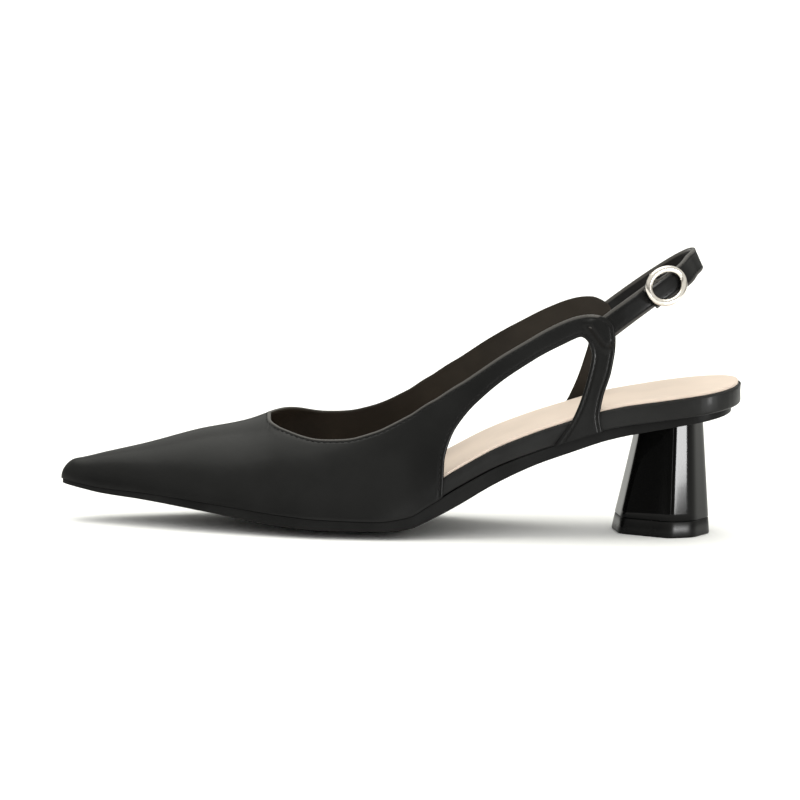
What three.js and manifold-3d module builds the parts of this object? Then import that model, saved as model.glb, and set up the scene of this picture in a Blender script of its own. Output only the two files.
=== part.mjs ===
// High heel: a left slingback pump with a pointed toe, a cut-out at each side and an eight-sided heel.
// Millimetres, +Z up, toe towards -X, outer side towards -Y.
// The origin is the centre of the heel tip's bottom face, on the floor.
import * as THREE from 'three';
import { mergeVertices } from 'three/addons/utils/BufferGeometryUtils.js';
import Module from 'manifold-3d';

const wasm = await Module();
wasm.setup();

// Driving dimensions of the last and the sole
const LENGTH = 258;            // toe tip to the back of the seat
const HEEL_SETBACK = 28.6;     // back of the seat behind the heel tip's centre
const BALL_WIDTH = 75;
const SEAT_WIDTH = 54.5;
const TOE_SPRING = 14.2;       // sole edge above the floor at the toe tip
const HEEL_RISE = 48.4;        // sole edge above the floor at the back of the seat
const CROWN_RISE = 32.8;       // ridge of the vamp above its feather edge, at the throat
const RIDGE_SHIFT = 6;         // ridge of the vamp towards the inner side
const SOLE_CUP = 3.9;          // how far the sole's middle hangs below its edges at the ball
const SOLE_EDGE = 3.4;         // outsole thickness at the ball
const NOSE_LENGTH = 6;         // rounding of the toe tip
const SEAT_ROUND = { outer: 21, inner: 31 };   // rounding of the back of the seat, along the shoe
const SEAT_POWER = 2.2;        // how full that rounding is: 2 is an ellipse
const CUP_POWER = 2.4;         // how flat the sole's middle is: 2 is a parabola
const FLEX_END = 0.83;         // share of the length from which the seat is a flat slope

// Wall, layers and clearance
const GAP = 0.3;               // between curved pieces
const WALL = 1.4;              // upper leather with its lining
const BOARD_THICKNESS = 7.4;   // wrapped board in the waist and seat
const BOARD_FRONT = 2.2;       // the same board under the ball and toe
const SOCK_THICKNESS = 1.0;
const SOCK_MARGIN = 0.8;       // board left bare around the sock
const OUTSOLE_INSET = 0.6;     // outsole edge inside the upper at the forefoot
const SEAT_INSET = 3.4;        // outsole edge inside the upper's line at the seat

// Collar and straps of the upper
const COLLAR_RISE = 45;        // top of the quarter band above the feather edge, at the junction

// Heel
const HEEL_TIP_LENGTH = 36;
const HEEL_TIP_WIDTH = 37.5;
const HEEL_TIP_HEIGHT = 6.2;
const HEEL_TOP_LENGTH = 24.5;
const HEEL_TOP_WIDTH = 30;
const HEEL_LEAN = 2.0;         // top of the block behind its foot
const HEEL_TURN = THREE.MathUtils.degToRad(7);       // the seat's own line turns out of the shoe's

// Sling, stay and buckle
const STRAP_WIDTH = 8.8;
const STRAP_THICKNESS = 1.8;
const SLING_TILT = THREE.MathUtils.degToRad(38.5);   // climb of the sling's plane towards the back
const BACK_STAND = THREE.MathUtils.degToRad(13);     // how much steeper the strap stands at the back
const SLING_REACH = 38.1;      // from the junction to the back of the loop, along that plane
const JUNCTION_SHARE = 0.807;  // place of the junction, as a share of the length
const JUNCTION_RISE = 41.0;    // junction's middle above the feather edge
const SLING_SAG = 2.8;         // how far the back and the inner side of the loop hang below that plane
const OVERLAP = 8;             // stretch of strap laid over the upper at each junction
const RING_PLACE = 20.6;       // buckle ring's centre along the sling's plane, from the junction
const RING_OUTER = 15.4;
const WIRE = 2.4;
const TAIL_LENGTH = 6.6;       // tail of the sling past the buckle's bar
const BAR_WIRE = 1.6;
const FOLD_WIDTH = 7;          // fold of the stay round the bar
const STAY_CUT = -0.12;        // slant of the stay's sewn end

const TOE_X = HEEL_SETBACK - LENGTH;

// Sections of the last: share of the length from the toe, half-widths as shares of the local width,
// edge heights as shares of the toe spring and of the heel rise, sole edge and cup as shares of
// their sizes, and the crown (the dome's ridge, imagined onward behind the throat)
const SECTIONS = [
  { at: 0.00, outer: 0.045, inner: 0.045, spring: 1.000, rise: 0.000, edge: 0.48, cup: 0.05, crown: 0.21 },
  { at: 0.03, outer: 0.092, inner: 0.090, spring: 0.910, rise: 0.000, edge: 0.52, cup: 0.10, crown: 0.28 },
  { at: 0.06, outer: 0.135, inner: 0.129, spring: 0.825, rise: 0.000, edge: 0.58, cup: 0.16, crown: 0.37 },
  { at: 0.12, outer: 0.220, inner: 0.207, spring: 0.745, rise: 0.000, edge: 0.75, cup: 0.28, crown: 0.50 },
  { at: 0.20, outer: 0.327, inner: 0.305, spring: 0.585, rise: 0.000, edge: 0.95, cup: 0.46, crown: 0.72 },
  { at: 0.27, outer: 0.408, inner: 0.383, spring: 0.420, rise: 0.000, edge: 1.12, cup: 0.71, crown: 0.885 },
  { at: 0.30, outer: 0.440, inner: 0.415, spring: 0.350, rise: 0.000, edge: 1.18, cup: 0.82, crown: 0.990 },
  { at: 0.33, outer: 0.466, inner: 0.443, spring: 0.300, rise: 0.000, edge: 1.17, cup: 0.91, crown: 1.115 },
  { at: 0.38, outer: 0.497, inner: 0.478, spring: 0.250, rise: 0.000, edge: 1.12, cup: 1.00, crown: 1.22 },
  { at: 0.46, outer: 0.505, inner: 0.470, spring: 0.244, rise: 0.002, edge: 1.00, cup: 1.02, crown: 1.50 },
  { at: 0.51, outer: 0.487, inner: 0.435, spring: 0.210, rise: 0.032, edge: 1.25, cup: 0.95, crown: 1.76 },
  { at: 0.54, outer: 0.472, inner: 0.412, spring: 0.150, rise: 0.112, edge: 1.61, cup: 0.80, crown: 1.95 },
  { at: 0.58, outer: 0.463, inner: 0.397, spring: 0.080, rise: 0.242, edge: 1.94, cup: 0.60, crown: 2.25 },
  { at: 0.63, outer: 0.468, inner: 0.398, spring: 0.020, rise: 0.418, edge: 1.78, cup: 0.42, crown: 2.65 },
  { at: 0.69, outer: 0.490, inner: 0.420, spring: 0.000, rise: 0.579, edge: 1.46, cup: 0.25, crown: 3.10 },
  { at: 0.75, outer: 0.504, inner: 0.450, spring: 0.000, rise: 0.692, edge: 1.35, cup: 0.10, crown: 3.60 },
  { at: 0.80, outer: 0.506, inner: 0.474, spring: 0.000, rise: 0.780, edge: 1.24, cup: 0.00, crown: 4.00 },
  { at: 0.90, outer: 0.500, inner: 0.496, spring: 0.000, rise: 0.899, edge: 0.99, cup: 0.00, crown: 4.60 },
  { at: 1.00, outer: 0.500, inner: 0.500, spring: 0.000, rise: 1.000, edge: 0.78, cup: 0.00, crown: 5.00 },
];

// The upper as a ribbon of leather: each row is a line across it, from its lower edge (feather edge,
// cut-out, front of the down strap) to its upper edge (ridge, topline, back of the down strap).
// low and high are shares of the length; lowRise and highRise are heights above the feather edge,
// as shares of the collar rise. A highRise of null lies on the ridge.
const RIBBON = [
  { low: 0.028, lowRise: 0.000, high: 0.028, highRise: null },
  { low: 0.058, lowRise: 0.000, high: 0.060, highRise: null },
  { low: 0.094, lowRise: 0.000, high: 0.100, highRise: null },
  { low: 0.138, lowRise: 0.000, high: 0.150, highRise: null },
  { low: 0.180, lowRise: 0.000, high: 0.200, highRise: null },
  { low: 0.222, lowRise: 0.000, high: 0.252, highRise: null },
  { low: 0.268, lowRise: 0.000, high: 0.306, highRise: null },
  { low: 0.300, lowRise: 0.000, high: 0.307, highRise: 0.715 },
  { low: 0.335, lowRise: 0.000, high: 0.320, highRise: 0.682 },
  { low: 0.400, lowRise: 0.000, high: 0.350, highRise: 0.649 },
  { low: 0.450, lowRise: 0.000, high: 0.392, highRise: 0.637 },
  { low: 0.492, lowRise: 0.000, high: 0.434, highRise: 0.674 },
  { low: 0.530, lowRise: 0.000, high: 0.474, highRise: 0.756 },
  { low: 0.560, lowRise: 0.000, high: 0.514, highRise: 0.839 },
  { low: 0.561, lowRise: 0.284, high: 0.552, highRise: 0.855 },
  { low: 0.576, lowRise: 0.508, high: 0.590, highRise: 0.868 },
  { low: 0.604, lowRise: 0.622, high: 0.625, highRise: 0.900 },
  { low: 0.642, lowRise: 0.702, high: 0.662, highRise: 0.943 },
  { low: 0.686, lowRise: 0.774, high: 0.706, highRise: 1.000 },
  { low: 0.730, lowRise: 0.828, high: 0.748, highRise: 1.030 },
  { low: 0.754, lowRise: 0.848, high: 0.780, highRise: 0.985 },
  { low: 0.768, lowRise: 0.760, high: 0.803, highRise: 0.860 },
  { low: 0.772, lowRise: 0.660, high: 0.806, highRise: 0.700 },
  { low: 0.766, lowRise: 0.480, high: 0.801, highRise: 0.490 },
  { low: 0.756, lowRise: 0.300, high: 0.790, highRise: 0.290 },
  { low: 0.744, lowRise: 0.160, high: 0.786, highRise: 0.140 },
  { low: 0.721, lowRise: 0.000, high: 0.790, highRise: 0.000 },
];
const THROAT_ROW = 6;          // last row of RIBBON on the ridge, counted from 0
const COLLAR_ROW = 19;         // its row at the top of the collar
const INNER_LIFT = 0.125;      // how much higher the inner topline stands at the throat
const INNER_BAND_LIFT = 0.06;  // and along the band, both as shares of the collar rise
const INNER_BACK = 3;          // how much further back the inner junction lies

const SIDES = { outer: -1, inner: 1 };

// Corners of the heel on one side, front to back: foot and top are places along it, as shares of its
// length there from the middle, and across is a share of its half-width
const HEEL_CORNERS = [
  { foot: -0.50, top: -0.50, across: 0.40 },
  { foot: -0.02, top: -0.09, across: 1.00 },
  { foot: 0.26, top: 0.25, across: 0.86 },
  { foot: 0.50, top: 0.50, across: 0.32 },
];

// Smooth curve through the rows of a table, with no overshoot between them
function throughTable(rows, column, key = 'at') {
  const x = rows.map((row) => row[key]);
  const y = rows.map((row) => row[column]);
  const last = x.length - 1;
  const step = x.slice(1).map((value, i) => value - x[i]);
  const slope = step.map((width, i) => (y[i + 1] - y[i]) / width);
  const tangent = y.map((value, i) => {
    if (i === 0) return slope[0];
    if (i === last) return slope[last - 1];
    if (slope[i - 1] * slope[i] <= 0) return 0;
    const before = 2 * step[i] + step[i - 1];
    const after = step[i] + 2 * step[i - 1];
    return (before + after) / (before / slope[i - 1] + after / slope[i]);
  });
  return (at) => {
    const place = Math.min(Math.max(at, x[0]), x[last]);
    let i = 0;
    while (i < last - 1 && place > x[i + 1]) i += 1;
    const t = (place - x[i]) / step[i];
    const rest = 1 - t;
    return y[i] * rest * rest * (1 + 2 * t) + y[i + 1] * t * t * (3 - 2 * t)
      + step[i] * t * rest * (tangent[i] * rest - tangent[i + 1] * t);
  };
}

const section = Object.fromEntries(
  ['outer', 'inner', 'spring', 'rise', 'edge', 'cup', 'crown'].map((name) => [name, throughTable(SECTIONS, name)]),
);

const smooth = (from, to, value) => THREE.MathUtils.smoothstep(value, from, to);
const shareAt = (x) => (x - TOE_X) / LENGTH;
const xAt = (share) => TOE_X + share * LENGTH;

// Rounding that brings a width or a height to nothing at the two ends of the shoe
function noseRound(share) {
  const left = Math.min(Math.max(share * LENGTH / NOSE_LENGTH, 0), 1);
  return Math.sqrt(Math.max(1 - (1 - left) ** 2, 0));
}

function seatRound(side, share) {
  const left = Math.min(Math.max((1 - share) * LENGTH / SEAT_ROUND[side], 0), 1);
  return Math.max(1 - (1 - left) ** SEAT_POWER, 0) ** (1 / SEAT_POWER);
}

// Half-width of the last's feather edge on one side
function halfWidth(side, share) {
  const width = THREE.MathUtils.lerp(BALL_WIDTH, SEAT_WIDTH, smooth(0.5, 0.8, share));
  return width * section[side](share) * noseRound(share) * seatRound(side, share);
}

// Underside of the sole at its edge, and the feather edge one sole edge above it
const edgeCurve = (share) => TOE_SPRING * section.spring(share) + HEEL_RISE * section.rise(share);

function soleEdge(share) {
  if (share <= FLEX_END) return edgeCurve(share);
  const along = (share - FLEX_END) / (1 - FLEX_END);
  return THREE.MathUtils.lerp(edgeCurve(FLEX_END), edgeCurve(1), along);
}

const edgeThickness = (share) => SOLE_EDGE * section.edge(share);
const feather = (share) => soleEdge(share) + edgeThickness(share);

// How far a point of the sole lies below its edge, from 0 at the edge to the full cup in the middle
function cup(share, y) {
  const half = Math.max(halfWidth(y < 0 ? 'outer' : 'inner', share), 1e-6);
  const out = Math.min(Math.abs(y) / half, 1);
  return SOLE_CUP * section.cup(share) * (1 - out ** CUP_POWER);
}

const crown = (share) => CROWN_RISE * section.crown(share) * noseRound(share);

// Angle up the dome, from 0 at the feather edge to a right angle at the crown, for a height
const angleFor = (share, rise) => Math.asin(Math.min(Math.max(rise / crown(share), 0), 1));

// The ridge moves over to the inner side behind the toe
const ridgeShift = (share) => RIDGE_SHIFT * smooth(0.05, 0.35, share);

// Point of the upper's outer surface: half an ellipse over the feather edge, with its own half-width
// on each side, leaning so that its top is over the ridge
function domePoint(side, share, angle) {
  return new THREE.Vector3(
    xAt(share),
    SIDES[side] * halfWidth(side, share) * Math.cos(angle) + ridgeShift(share) * Math.sin(angle),
    feather(share) + crown(share) * Math.sin(angle),
  );
}

function domeNormal(side, share, angle) {
  const step = 1e-4;
  const ahead = domePoint(side, Math.min(share + step, 1), angle);
  const behind = domePoint(side, Math.max(share - step, 1e-6), angle);
  const up = domePoint(side, share, angle + step);
  const down = domePoint(side, share, angle - step);
  const along = ahead.sub(behind);
  const across = up.sub(down);
  return along.cross(across).normalize().multiplyScalar(-SIDES[side]);
}

// How far the surface leans in over the feather edge at a height above it
function lean(side, share, rise) {
  const angle = angleFor(share, rise);
  return halfWidth(side, share) * (1 - Math.cos(angle)) - SIDES[side] * ridgeShift(share) * Math.sin(angle);
}

// A closed mesh gathered from sheets of points and turned outwards
class Shell {
  constructor() {
    this.positions = [];
  }

  triangle(a, b, c) {
    this.positions.push(a.x, a.y, a.z, b.x, b.y, b.z, c.x, c.y, c.z);
  }

  quad(a, b, c, d) {
    this.triangle(a, b, c);
    this.triangle(a, c, d);
  }

  sheet(rows, flip = false) {
    for (let i = 0; i + 1 < rows.length; i += 1) {
      for (let j = 0; j + 1 < rows[i].length; j += 1) {
        const corners = [rows[i][j], rows[i][j + 1], rows[i + 1][j + 1], rows[i + 1][j]];
        this.quad(...(flip ? corners.reverse() : corners));
      }
    }
  }

  fan(ring, flip = false) {
    for (let i = 1; i + 1 < ring.length; i += 1) {
      if (flip) this.triangle(ring[0], ring[i + 1], ring[i]);
      else this.triangle(ring[0], ring[i], ring[i + 1]);
    }
  }

  geometry() {
    const loose = new THREE.BufferGeometry();
    loose.setAttribute('position', new THREE.Float32BufferAttribute(this.positions, 3));
    const merged = mergeVertices(loose, 2e-3);
    const index = merged.index.array;
    const kept = [];
    for (let i = 0; i < index.length; i += 3) {
      const [a, b, c] = [index[i], index[i + 1], index[i + 2]];
      if (a !== b && b !== c && c !== a) kept.push(a, b, c);
    }
    merged.setIndex(kept);
    const facing = signedVolume(merged) < 0 ? turned(merged) : merged;
    facing.computeVertexNormals();
    return facing;
  }
}

function signedVolume(geometry) {
  const place = geometry.attributes.position;
  const index = geometry.index.array;
  const [a, b, c] = [new THREE.Vector3(), new THREE.Vector3(), new THREE.Vector3()];
  let total = 0;
  for (let i = 0; i < index.length; i += 3) {
    a.fromBufferAttribute(place, index[i]);
    b.fromBufferAttribute(place, index[i + 1]);
    c.fromBufferAttribute(place, index[i + 2]);
    total += a.dot(b.cross(c)) / 6;
  }
  return total;
}

function turned(geometry) {
  const index = Array.from(geometry.index.array);
  for (let i = 0; i < index.length; i += 3) [index[i + 1], index[i + 2]] = [index[i + 2], index[i + 1]];
  geometry.setIndex(index);
  return geometry;
}

function toSolid(geometry) {
  return new wasm.Manifold(new wasm.Mesh({
    numProp: 3,
    vertProperties: geometry.attributes.position.array,
    triVerts: new Uint32Array(geometry.index.array),
  }));
}

function fromSolid(solid) {
  const { vertProperties, triVerts } = solid.getMesh();
  const geometry = new THREE.BufferGeometry();
  geometry.setAttribute('position', new THREE.Float32BufferAttribute(vertProperties, 3));
  geometry.setIndex(Array.from(triVerts));
  geometry.computeVertexNormals();
  return geometry;
}

// Upper
const RIBBON_ACROSS = 8;       // faces across each half of the ribbon
const ROWS_BETWEEN = 2;        // steps from one row of the table to the next
const NOSE_SHARES = [0, 0.002, 0.006, 0.014];   // lines across the rounded toe tip, before the table

// Where the inner side differs: a higher topline, and a junction further back
function innerLift(row) {
  const band = THREE.MathUtils.lerp(INNER_LIFT, INNER_BAND_LIFT, smooth(THROAT_ROW + 2, THROAT_ROW + 7, row));
  return band * smooth(THROAT_ROW - 1, THROAT_ROW + 0.5, row) * (1 - smooth(COLLAR_ROW - 3, COLLAR_ROW + 3, row));
}

const innerBack = (row) => INNER_BACK / LENGTH * smooth(THROAT_ROW + 7, COLLAR_ROW, row)
  * (1 - 0.75 * smooth(COLLAR_ROW + 1, RIBBON.length - 1, row));

function ribbonRows(side) {
  const inner = side === 'inner' ? 1 : 0;
  const numbered = RIBBON.map((row, i) => ({
    at: i,
    low: row.low + inner * innerBack(i),
    high: row.high + inner * innerBack(i),
    lowAngle: angleFor(row.low, COLLAR_RISE * row.lowRise),
    highAngle: row.highRise === null
      ? Math.PI / 2
      : angleFor(row.high, COLLAR_RISE * (row.highRise + inner * innerLift(i))),
  }));
  const curve = Object.fromEntries(
    ['low', 'high', 'lowAngle', 'highAngle'].map((name) => [name, throughTable(numbered, name)]),
  );
  const rows = NOSE_SHARES.map((share) => ({ low: share, high: share, lowAngle: 0, highAngle: Math.PI / 2 }));
  for (let k = 0; k <= (RIBBON.length - 1) * ROWS_BETWEEN; k += 1) {
    const row = {};
    for (const name of Object.keys(curve)) row[name] = curve[name](k / ROWS_BETWEEN);
    rows.push(row);
  }
  return rows;
}

function upperSheets(side) {
  const outside = [];
  const inside = [];
  for (const row of ribbonRows(side)) {
    const skin = [];
    const lining = [];
    for (let j = 0; j <= RIBBON_ACROSS; j += 1) {
      const across = j / RIBBON_ACROSS;
      const share = THREE.MathUtils.lerp(row.low, row.high, across);
      const angle = THREE.MathUtils.lerp(row.lowAngle, row.highAngle, across);
      const point = domePoint(side, share, angle);
      const normal = share === 0 ? new THREE.Vector3(-1, 0, 0) : domeNormal(side, share, angle);
      if (Math.abs(angle - Math.PI / 2) < 1e-9) {
        point.y = ridgeShift(share);
        normal.y = 0;
        normal.normalize();
      }
      const within = point.clone().addScaledVector(normal, -WALL);
      if (angle === 0) within.z = feather(shareAt(within.x));
      skin.push(point);
      lining.push(within);
    }
    outside.push(skin);
    inside.push(lining);
  }
  return { outside, inside };
}

function upperGeometry() {
  const shell = new Shell();
  for (const side of Object.keys(SIDES)) {
    const { outside, inside } = upperSheets(side);
    const flip = side === 'inner';
    shell.sheet(outside, flip);
    shell.sheet(inside, !flip);
    shell.sheet([outside, inside].map((sheet) => sheet.map((row) => row[0])), flip);
    const open = NOSE_SHARES.length + THROAT_ROW * ROWS_BETWEEN;
    const topline = (sheet) => sheet.slice(open).map((row) => row[RIBBON_ACROSS]);
    shell.sheet([inside, outside].map(topline), flip);
    shell.sheet([outside.at(-1), inside.at(-1)], flip);
  }
  return shell.geometry();
}

// Layers of the bottom: each is drawn between an outer and an inner edge line set in from the last's
// feather edge, with a floor and a roof worked out across it
const LAYER_ACROSS = 8;
const LAYER_SHARES = [0, 0.003, 0.01, 0.023, 0.045, 0.08, 0.12, 0.16, 0.2, 0.25, 0.3, 0.34, 0.38, 0.42, 0.46,
  0.49, 0.515, 0.54, 0.565, 0.59, 0.62, 0.655, 0.69, 0.73, 0.77, 0.81, 0.83, 0.86, 0.895, 0.92, 0.943, 0.962, 0.978,
  0.99, 0.997, 1];

function edgePoint(side, share, inset) {
  if (share === 0) return new THREE.Vector2(TOE_X + inset, 0);
  if (share === 1) return new THREE.Vector2(TOE_X + LENGTH - inset, 0);
  const step = 1e-4;
  const ahead = Math.min(share + step, 1);
  const behind = Math.max(share - step, 0);
  const run = (ahead - behind) * LENGTH;
  const climb = halfWidth(side, ahead) - halfWidth(side, behind);
  const length = Math.hypot(run, climb);
  const out = Math.max(halfWidth(side, share) - inset * run / length, 0);
  return new THREE.Vector2(xAt(share) + inset * climb / length, SIDES[side] * out);
}

function layerGeometry({ inset, floor, roof, lean: leanAt = () => 0 }) {
  const rows = (level, drawIn) => LAYER_SHARES.map((share) => {
    const from = edgePoint('outer', share, inset(share));
    const to = edgePoint('inner', share, inset(share));
    const row = [];
    for (let j = 0; j <= LAYER_ACROSS; j += 1) {
      const x = THREE.MathUtils.lerp(from.x, to.x, j / LAYER_ACROSS);
      const side = j / LAYER_ACROSS < 0.5 ? 'outer' : 'inner';
      const pull = 1 - drawIn(side, shareAt(x)) / Math.max(halfWidth(side, shareAt(x)), 1);
      const y = THREE.MathUtils.lerp(from.y, to.y, j / LAYER_ACROSS) * pull;
      row.push(new THREE.Vector3(x, y, level(shareAt(x), y)));
    }
    return row;
  });
  const under = rows(floor, () => 0);
  const over = rows(roof, leanAt);
  const shell = new Shell();
  shell.sheet(over);
  shell.sheet(under, true);
  shell.sheet([over, under].map((sheet) => sheet.map((row) => row[0])));
  shell.sheet([under, over].map((sheet) => sheet.map((row) => row[LAYER_ACROSS])));
  return shell.geometry();
}

const outsoleInset = (share) => THREE.MathUtils.lerp(OUTSOLE_INSET, SEAT_INSET, smooth(0.56, 0.84, share));
const boardThickness = (share) => THREE.MathUtils.lerp(BOARD_FRONT, BOARD_THICKNESS, smooth(0.47, 0.56, share));

// The board fits inside the upper, and comes out to the last's own line behind the down straps
const boardInset = (share) => (WALL + GAP) * (1 - smooth(0.81, 0.9, share));
const boardFloor = (share, y) => feather(share) - cup(share, y);
const boardRoof = (share, y) => boardFloor(share, y) + boardThickness(share);
const sockFloor = (share, y) => boardRoof(share, y) + GAP;
const sockRoof = (share, y) => sockFloor(share, y) + SOCK_THICKNESS;

const outsoleGeometry = () => layerGeometry({
  inset: outsoleInset,
  floor: (share, y) => Math.max(soleEdge(share) - cup(share, y), 0),
  roof: (share, y) => feather(share) - GAP - cup(share, y),
});

const boardGeometry = () => layerGeometry({
  inset: boardInset,
  floor: boardFloor,
  roof: boardRoof,
  lean: (side, share) => lean(side, share, boardThickness(share)),
});

const sockGeometry = () => layerGeometry({
  inset: (share) => boardInset(share) + SOCK_MARGIN + lean('outer', share, boardThickness(share)),
  floor: sockFloor,
  roof: sockRoof,
  lean: (side, share) => lean(side, share, SOCK_THICKNESS),
});

// Heel block and its tip: eight-sided, tapering up to the slope of the seat. climb is the share of
// the way up from the floor to the seat.
function heelRing(climb, level) {
  const mix = (foot, top) => THREE.MathUtils.lerp(foot, top, climb);
  const corner = ({ foot, top, across }, sign) => {
    const forth = mix(foot * HEEL_TIP_LENGTH, top * HEEL_TOP_LENGTH);
    const aside = sign * across * mix(HEEL_TIP_WIDTH, HEEL_TOP_WIDTH) / 2;
    const x = mix(0, HEEL_LEAN) + forth * Math.cos(HEEL_TURN) - aside * Math.sin(HEEL_TURN);
    return new THREE.Vector3(x, forth * Math.sin(HEEL_TURN) + aside * Math.cos(HEEL_TURN), level(x));
  };
  const near = HEEL_CORNERS.map((place) => corner(place, -1));
  const far = HEEL_CORNERS.map((place) => corner(place, 1)).reverse();
  return [...near, ...far];
}

function loftGeometry(under, over) {
  const shell = new Shell();
  shell.fan(under, true);
  shell.fan(over);
  shell.sheet([[...under, under[0]], [...over, over[0]]]);
  return shell.geometry();
}

const seatUnder = (x) => soleEdge(shareAt(x)) - GAP;
const TIP_CLIMB = HEEL_TIP_HEIGHT / HEEL_RISE;

const heelTipGeometry = () => loftGeometry(
  heelRing(0, () => 0),
  heelRing(TIP_CLIMB, () => HEEL_TIP_HEIGHT),
);

const heelBlockGeometry = () => loftGeometry(
  heelRing(TIP_CLIMB, () => HEEL_TIP_HEIGHT + GAP),
  heelRing(1, seatUnder),
);

// Sling and stay: straps that stand in a plane climbing to the back. along runs up that plane from
// the junction, up runs square to it, out is the side away from the foot.
const ALONG = new THREE.Vector3(Math.cos(SLING_TILT), 0, Math.sin(SLING_TILT));
const UP = new THREE.Vector3(-Math.sin(SLING_TILT), 0, Math.cos(SLING_TILT));
const JUNCTION = new THREE.Vector3(xAt(JUNCTION_SHARE), 0, feather(JUNCTION_SHARE) + JUNCTION_RISE);
const LAYER = STRAP_THICKNESS + GAP;

// Distance of the upper's outer surface from the middle of the shoe at a point of the side view
function upperReach(side, x, z) {
  const share = shareAt(x);
  const angle = angleFor(share, z - feather(share));
  return halfWidth(side, share) * Math.cos(angle) + SIDES[side] * ridgeShift(share) * Math.sin(angle);
}

const loopHalf = Object.fromEntries(Object.keys(SIDES).map(
  (side) => [side, upperReach(side, JUNCTION.x, JUNCTION.z) + GAP + STRAP_THICKNESS / 2],
));

// Middle of the strap's thickness: an ellipse round the back, laid on the upper before it
function loopPoint(side, turn, up) {
  const along = turn >= 0 ? SLING_REACH * Math.sin(turn) : SLING_REACH * turn;
  const back = Math.sin(Math.max(turn, 0)) ** 2;
  const sag = SLING_SAG * (side === 'inner' ? 1 : back);
  const stand = BACK_STAND * back ** 2;
  const point = JUNCTION.clone()
    .addScaledVector(ALONG, along + up * STRAP_WIDTH * Math.sin(stand))
    .addScaledVector(UP, up * STRAP_WIDTH * Math.cos(stand) - sag);
  const onLoop = loopHalf[side] * Math.cos(Math.max(turn, 0));
  const onUpper = upperReach(side, point.x, point.z) + GAP + STRAP_THICKNESS / 2;
  const free = smooth(-0.02, 0.2, turn);
  point.y = SIDES[side] * THREE.MathUtils.lerp(onUpper, onLoop, free);
  return point;
}

const turnFor = (along) => (along >= 0 ? Math.asin(Math.min(along / SLING_REACH, 1)) : along / SLING_REACH);

function loopNormal(side, turn, up) {
  const step = 1e-3;
  const ahead = loopPoint(side, Math.min(turn + step, Math.PI / 2), up);
  const behind = loopPoint(side, turn - step, up);
  if (turn > Math.PI / 2 - 1e-6) return ALONG.clone();
  const across = loopPoint(side, turn, up + step).sub(loopPoint(side, turn, up - step));
  const normal = ahead.sub(behind).cross(across).normalize();
  if (normal.y * SIDES[side] < 0) normal.negate();
  return normal;
}

function strapPoint(side, turn, up, out) {
  return loopPoint(side, turn, up).addScaledVector(loopNormal(side, turn, up), out);
}

// A strap as a closed band: at each place its four corners, from stations of side, turn and layer
const STRAP_FACES = 2;         // faces across the strap

function strapGeometry(stations, endCut = 0) {
  const half = STRAP_THICKNESS / 2;
  const shift = (i, up) => (i === 0 ? endCut * up : 0);
  const line = (station, i, out) => {
    const row = [];
    for (let j = 0; j <= STRAP_FACES; j += 1) {
      const up = j / STRAP_FACES - 0.5;
      row.push(strapPoint(station.side, station.turn + shift(i, up), up, station.out + out));
    }
    return row;
  };
  const outside = stations.map((station, i) => line(station, i, half));
  const inside = stations.map((station, i) => line(station, i, -half));
  const shell = new Shell();
  shell.sheet(outside);
  shell.sheet(inside, true);
  shell.sheet([outside, inside].map((sheet) => sheet.map((row) => row[0])));
  shell.sheet([inside, outside].map((sheet) => sheet.map((row) => row[STRAP_FACES])));
  shell.sheet([inside[0], outside[0]]);
  shell.sheet([outside.at(-1), inside.at(-1)]);
  return shell.geometry();
}

function spread(from, to, count) {
  return Array.from({ length: count + 1 }, (_, i) => THREE.MathUtils.lerp(from, to, i / count));
}

const overlapTurn = turnFor(-OVERLAP);
const barTurn = turnFor(RING_PLACE);
const tailTurn = turnFor(RING_PLACE - TAIL_LENGTH);

// The sling's tail rides up one layer where it passes over the bar and the stay
const RIDE = { top: 0.45, foot: 0.96 };   // where the climb ends and starts, in ring widths behind the bar

const tailLayer = (turn) => LAYER * (1 - smooth(
  turnFor(RING_PLACE + RING_OUTER * RIDE.top),
  turnFor(RING_PLACE + RING_OUTER * RIDE.foot),
  turn,
));

function slingGeometry() {
  const innerSide = spread(overlapTurn, Math.PI / 2, 16).map((turn) => ({ side: 'inner', turn, out: 0 }));
  const outerSide = spread(Math.PI / 2, tailTurn, 14).slice(1)
    .map((turn) => ({ side: 'outer', turn, out: tailLayer(turn) }));
  return strapGeometry([...innerSide, ...outerSide]);
}

// Wires: a round section carried along a line of points, open with flat ends or closed on itself
function wireGeometry(points, diameter, sides, closed = false) {
  const rings = points.map((point, i) => {
    const before = points[closed ? (i - 1 + points.length) % points.length : Math.max(i - 1, 0)];
    const after = points[closed ? (i + 1) % points.length : Math.min(i + 1, points.length - 1)];
    const way = after.clone().sub(before).normalize();
    const first = UP.clone().addScaledVector(way, -UP.dot(way));
    if (first.length() < 0.5) first.copy(ALONG).addScaledVector(way, -ALONG.dot(way));
    first.normalize();
    const second = way.clone().cross(first);
    return Array.from({ length: sides + 1 }, (_, k) => {
      const angle = (k % sides) * 2 * Math.PI / sides;
      return point.clone()
        .addScaledVector(first, Math.cos(angle) * diameter / 2)
        .addScaledVector(second, Math.sin(angle) * diameter / 2);
    });
  });
  const shell = new Shell();
  shell.sheet(closed ? [...rings, rings[0]] : rings);
  if (!closed) {
    shell.fan(rings[0].slice(0, sides), true);
    shell.fan(rings.at(-1).slice(0, sides));
  }
  return shell.geometry();
}

// Ring of the buckle: it rests on the tail's outer face and bends with it
const ringRadius = (RING_OUTER - WIRE) / 2;
const ringOut = LAYER + STRAP_THICKNESS / 2 + GAP + WIRE / 2;

function ringPoint(angle) {
  const turn = turnFor(RING_PLACE + ringRadius * Math.cos(angle));
  return strapPoint('outer', turn, ringRadius * Math.sin(angle) / STRAP_WIDTH, ringOut);
}

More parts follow.
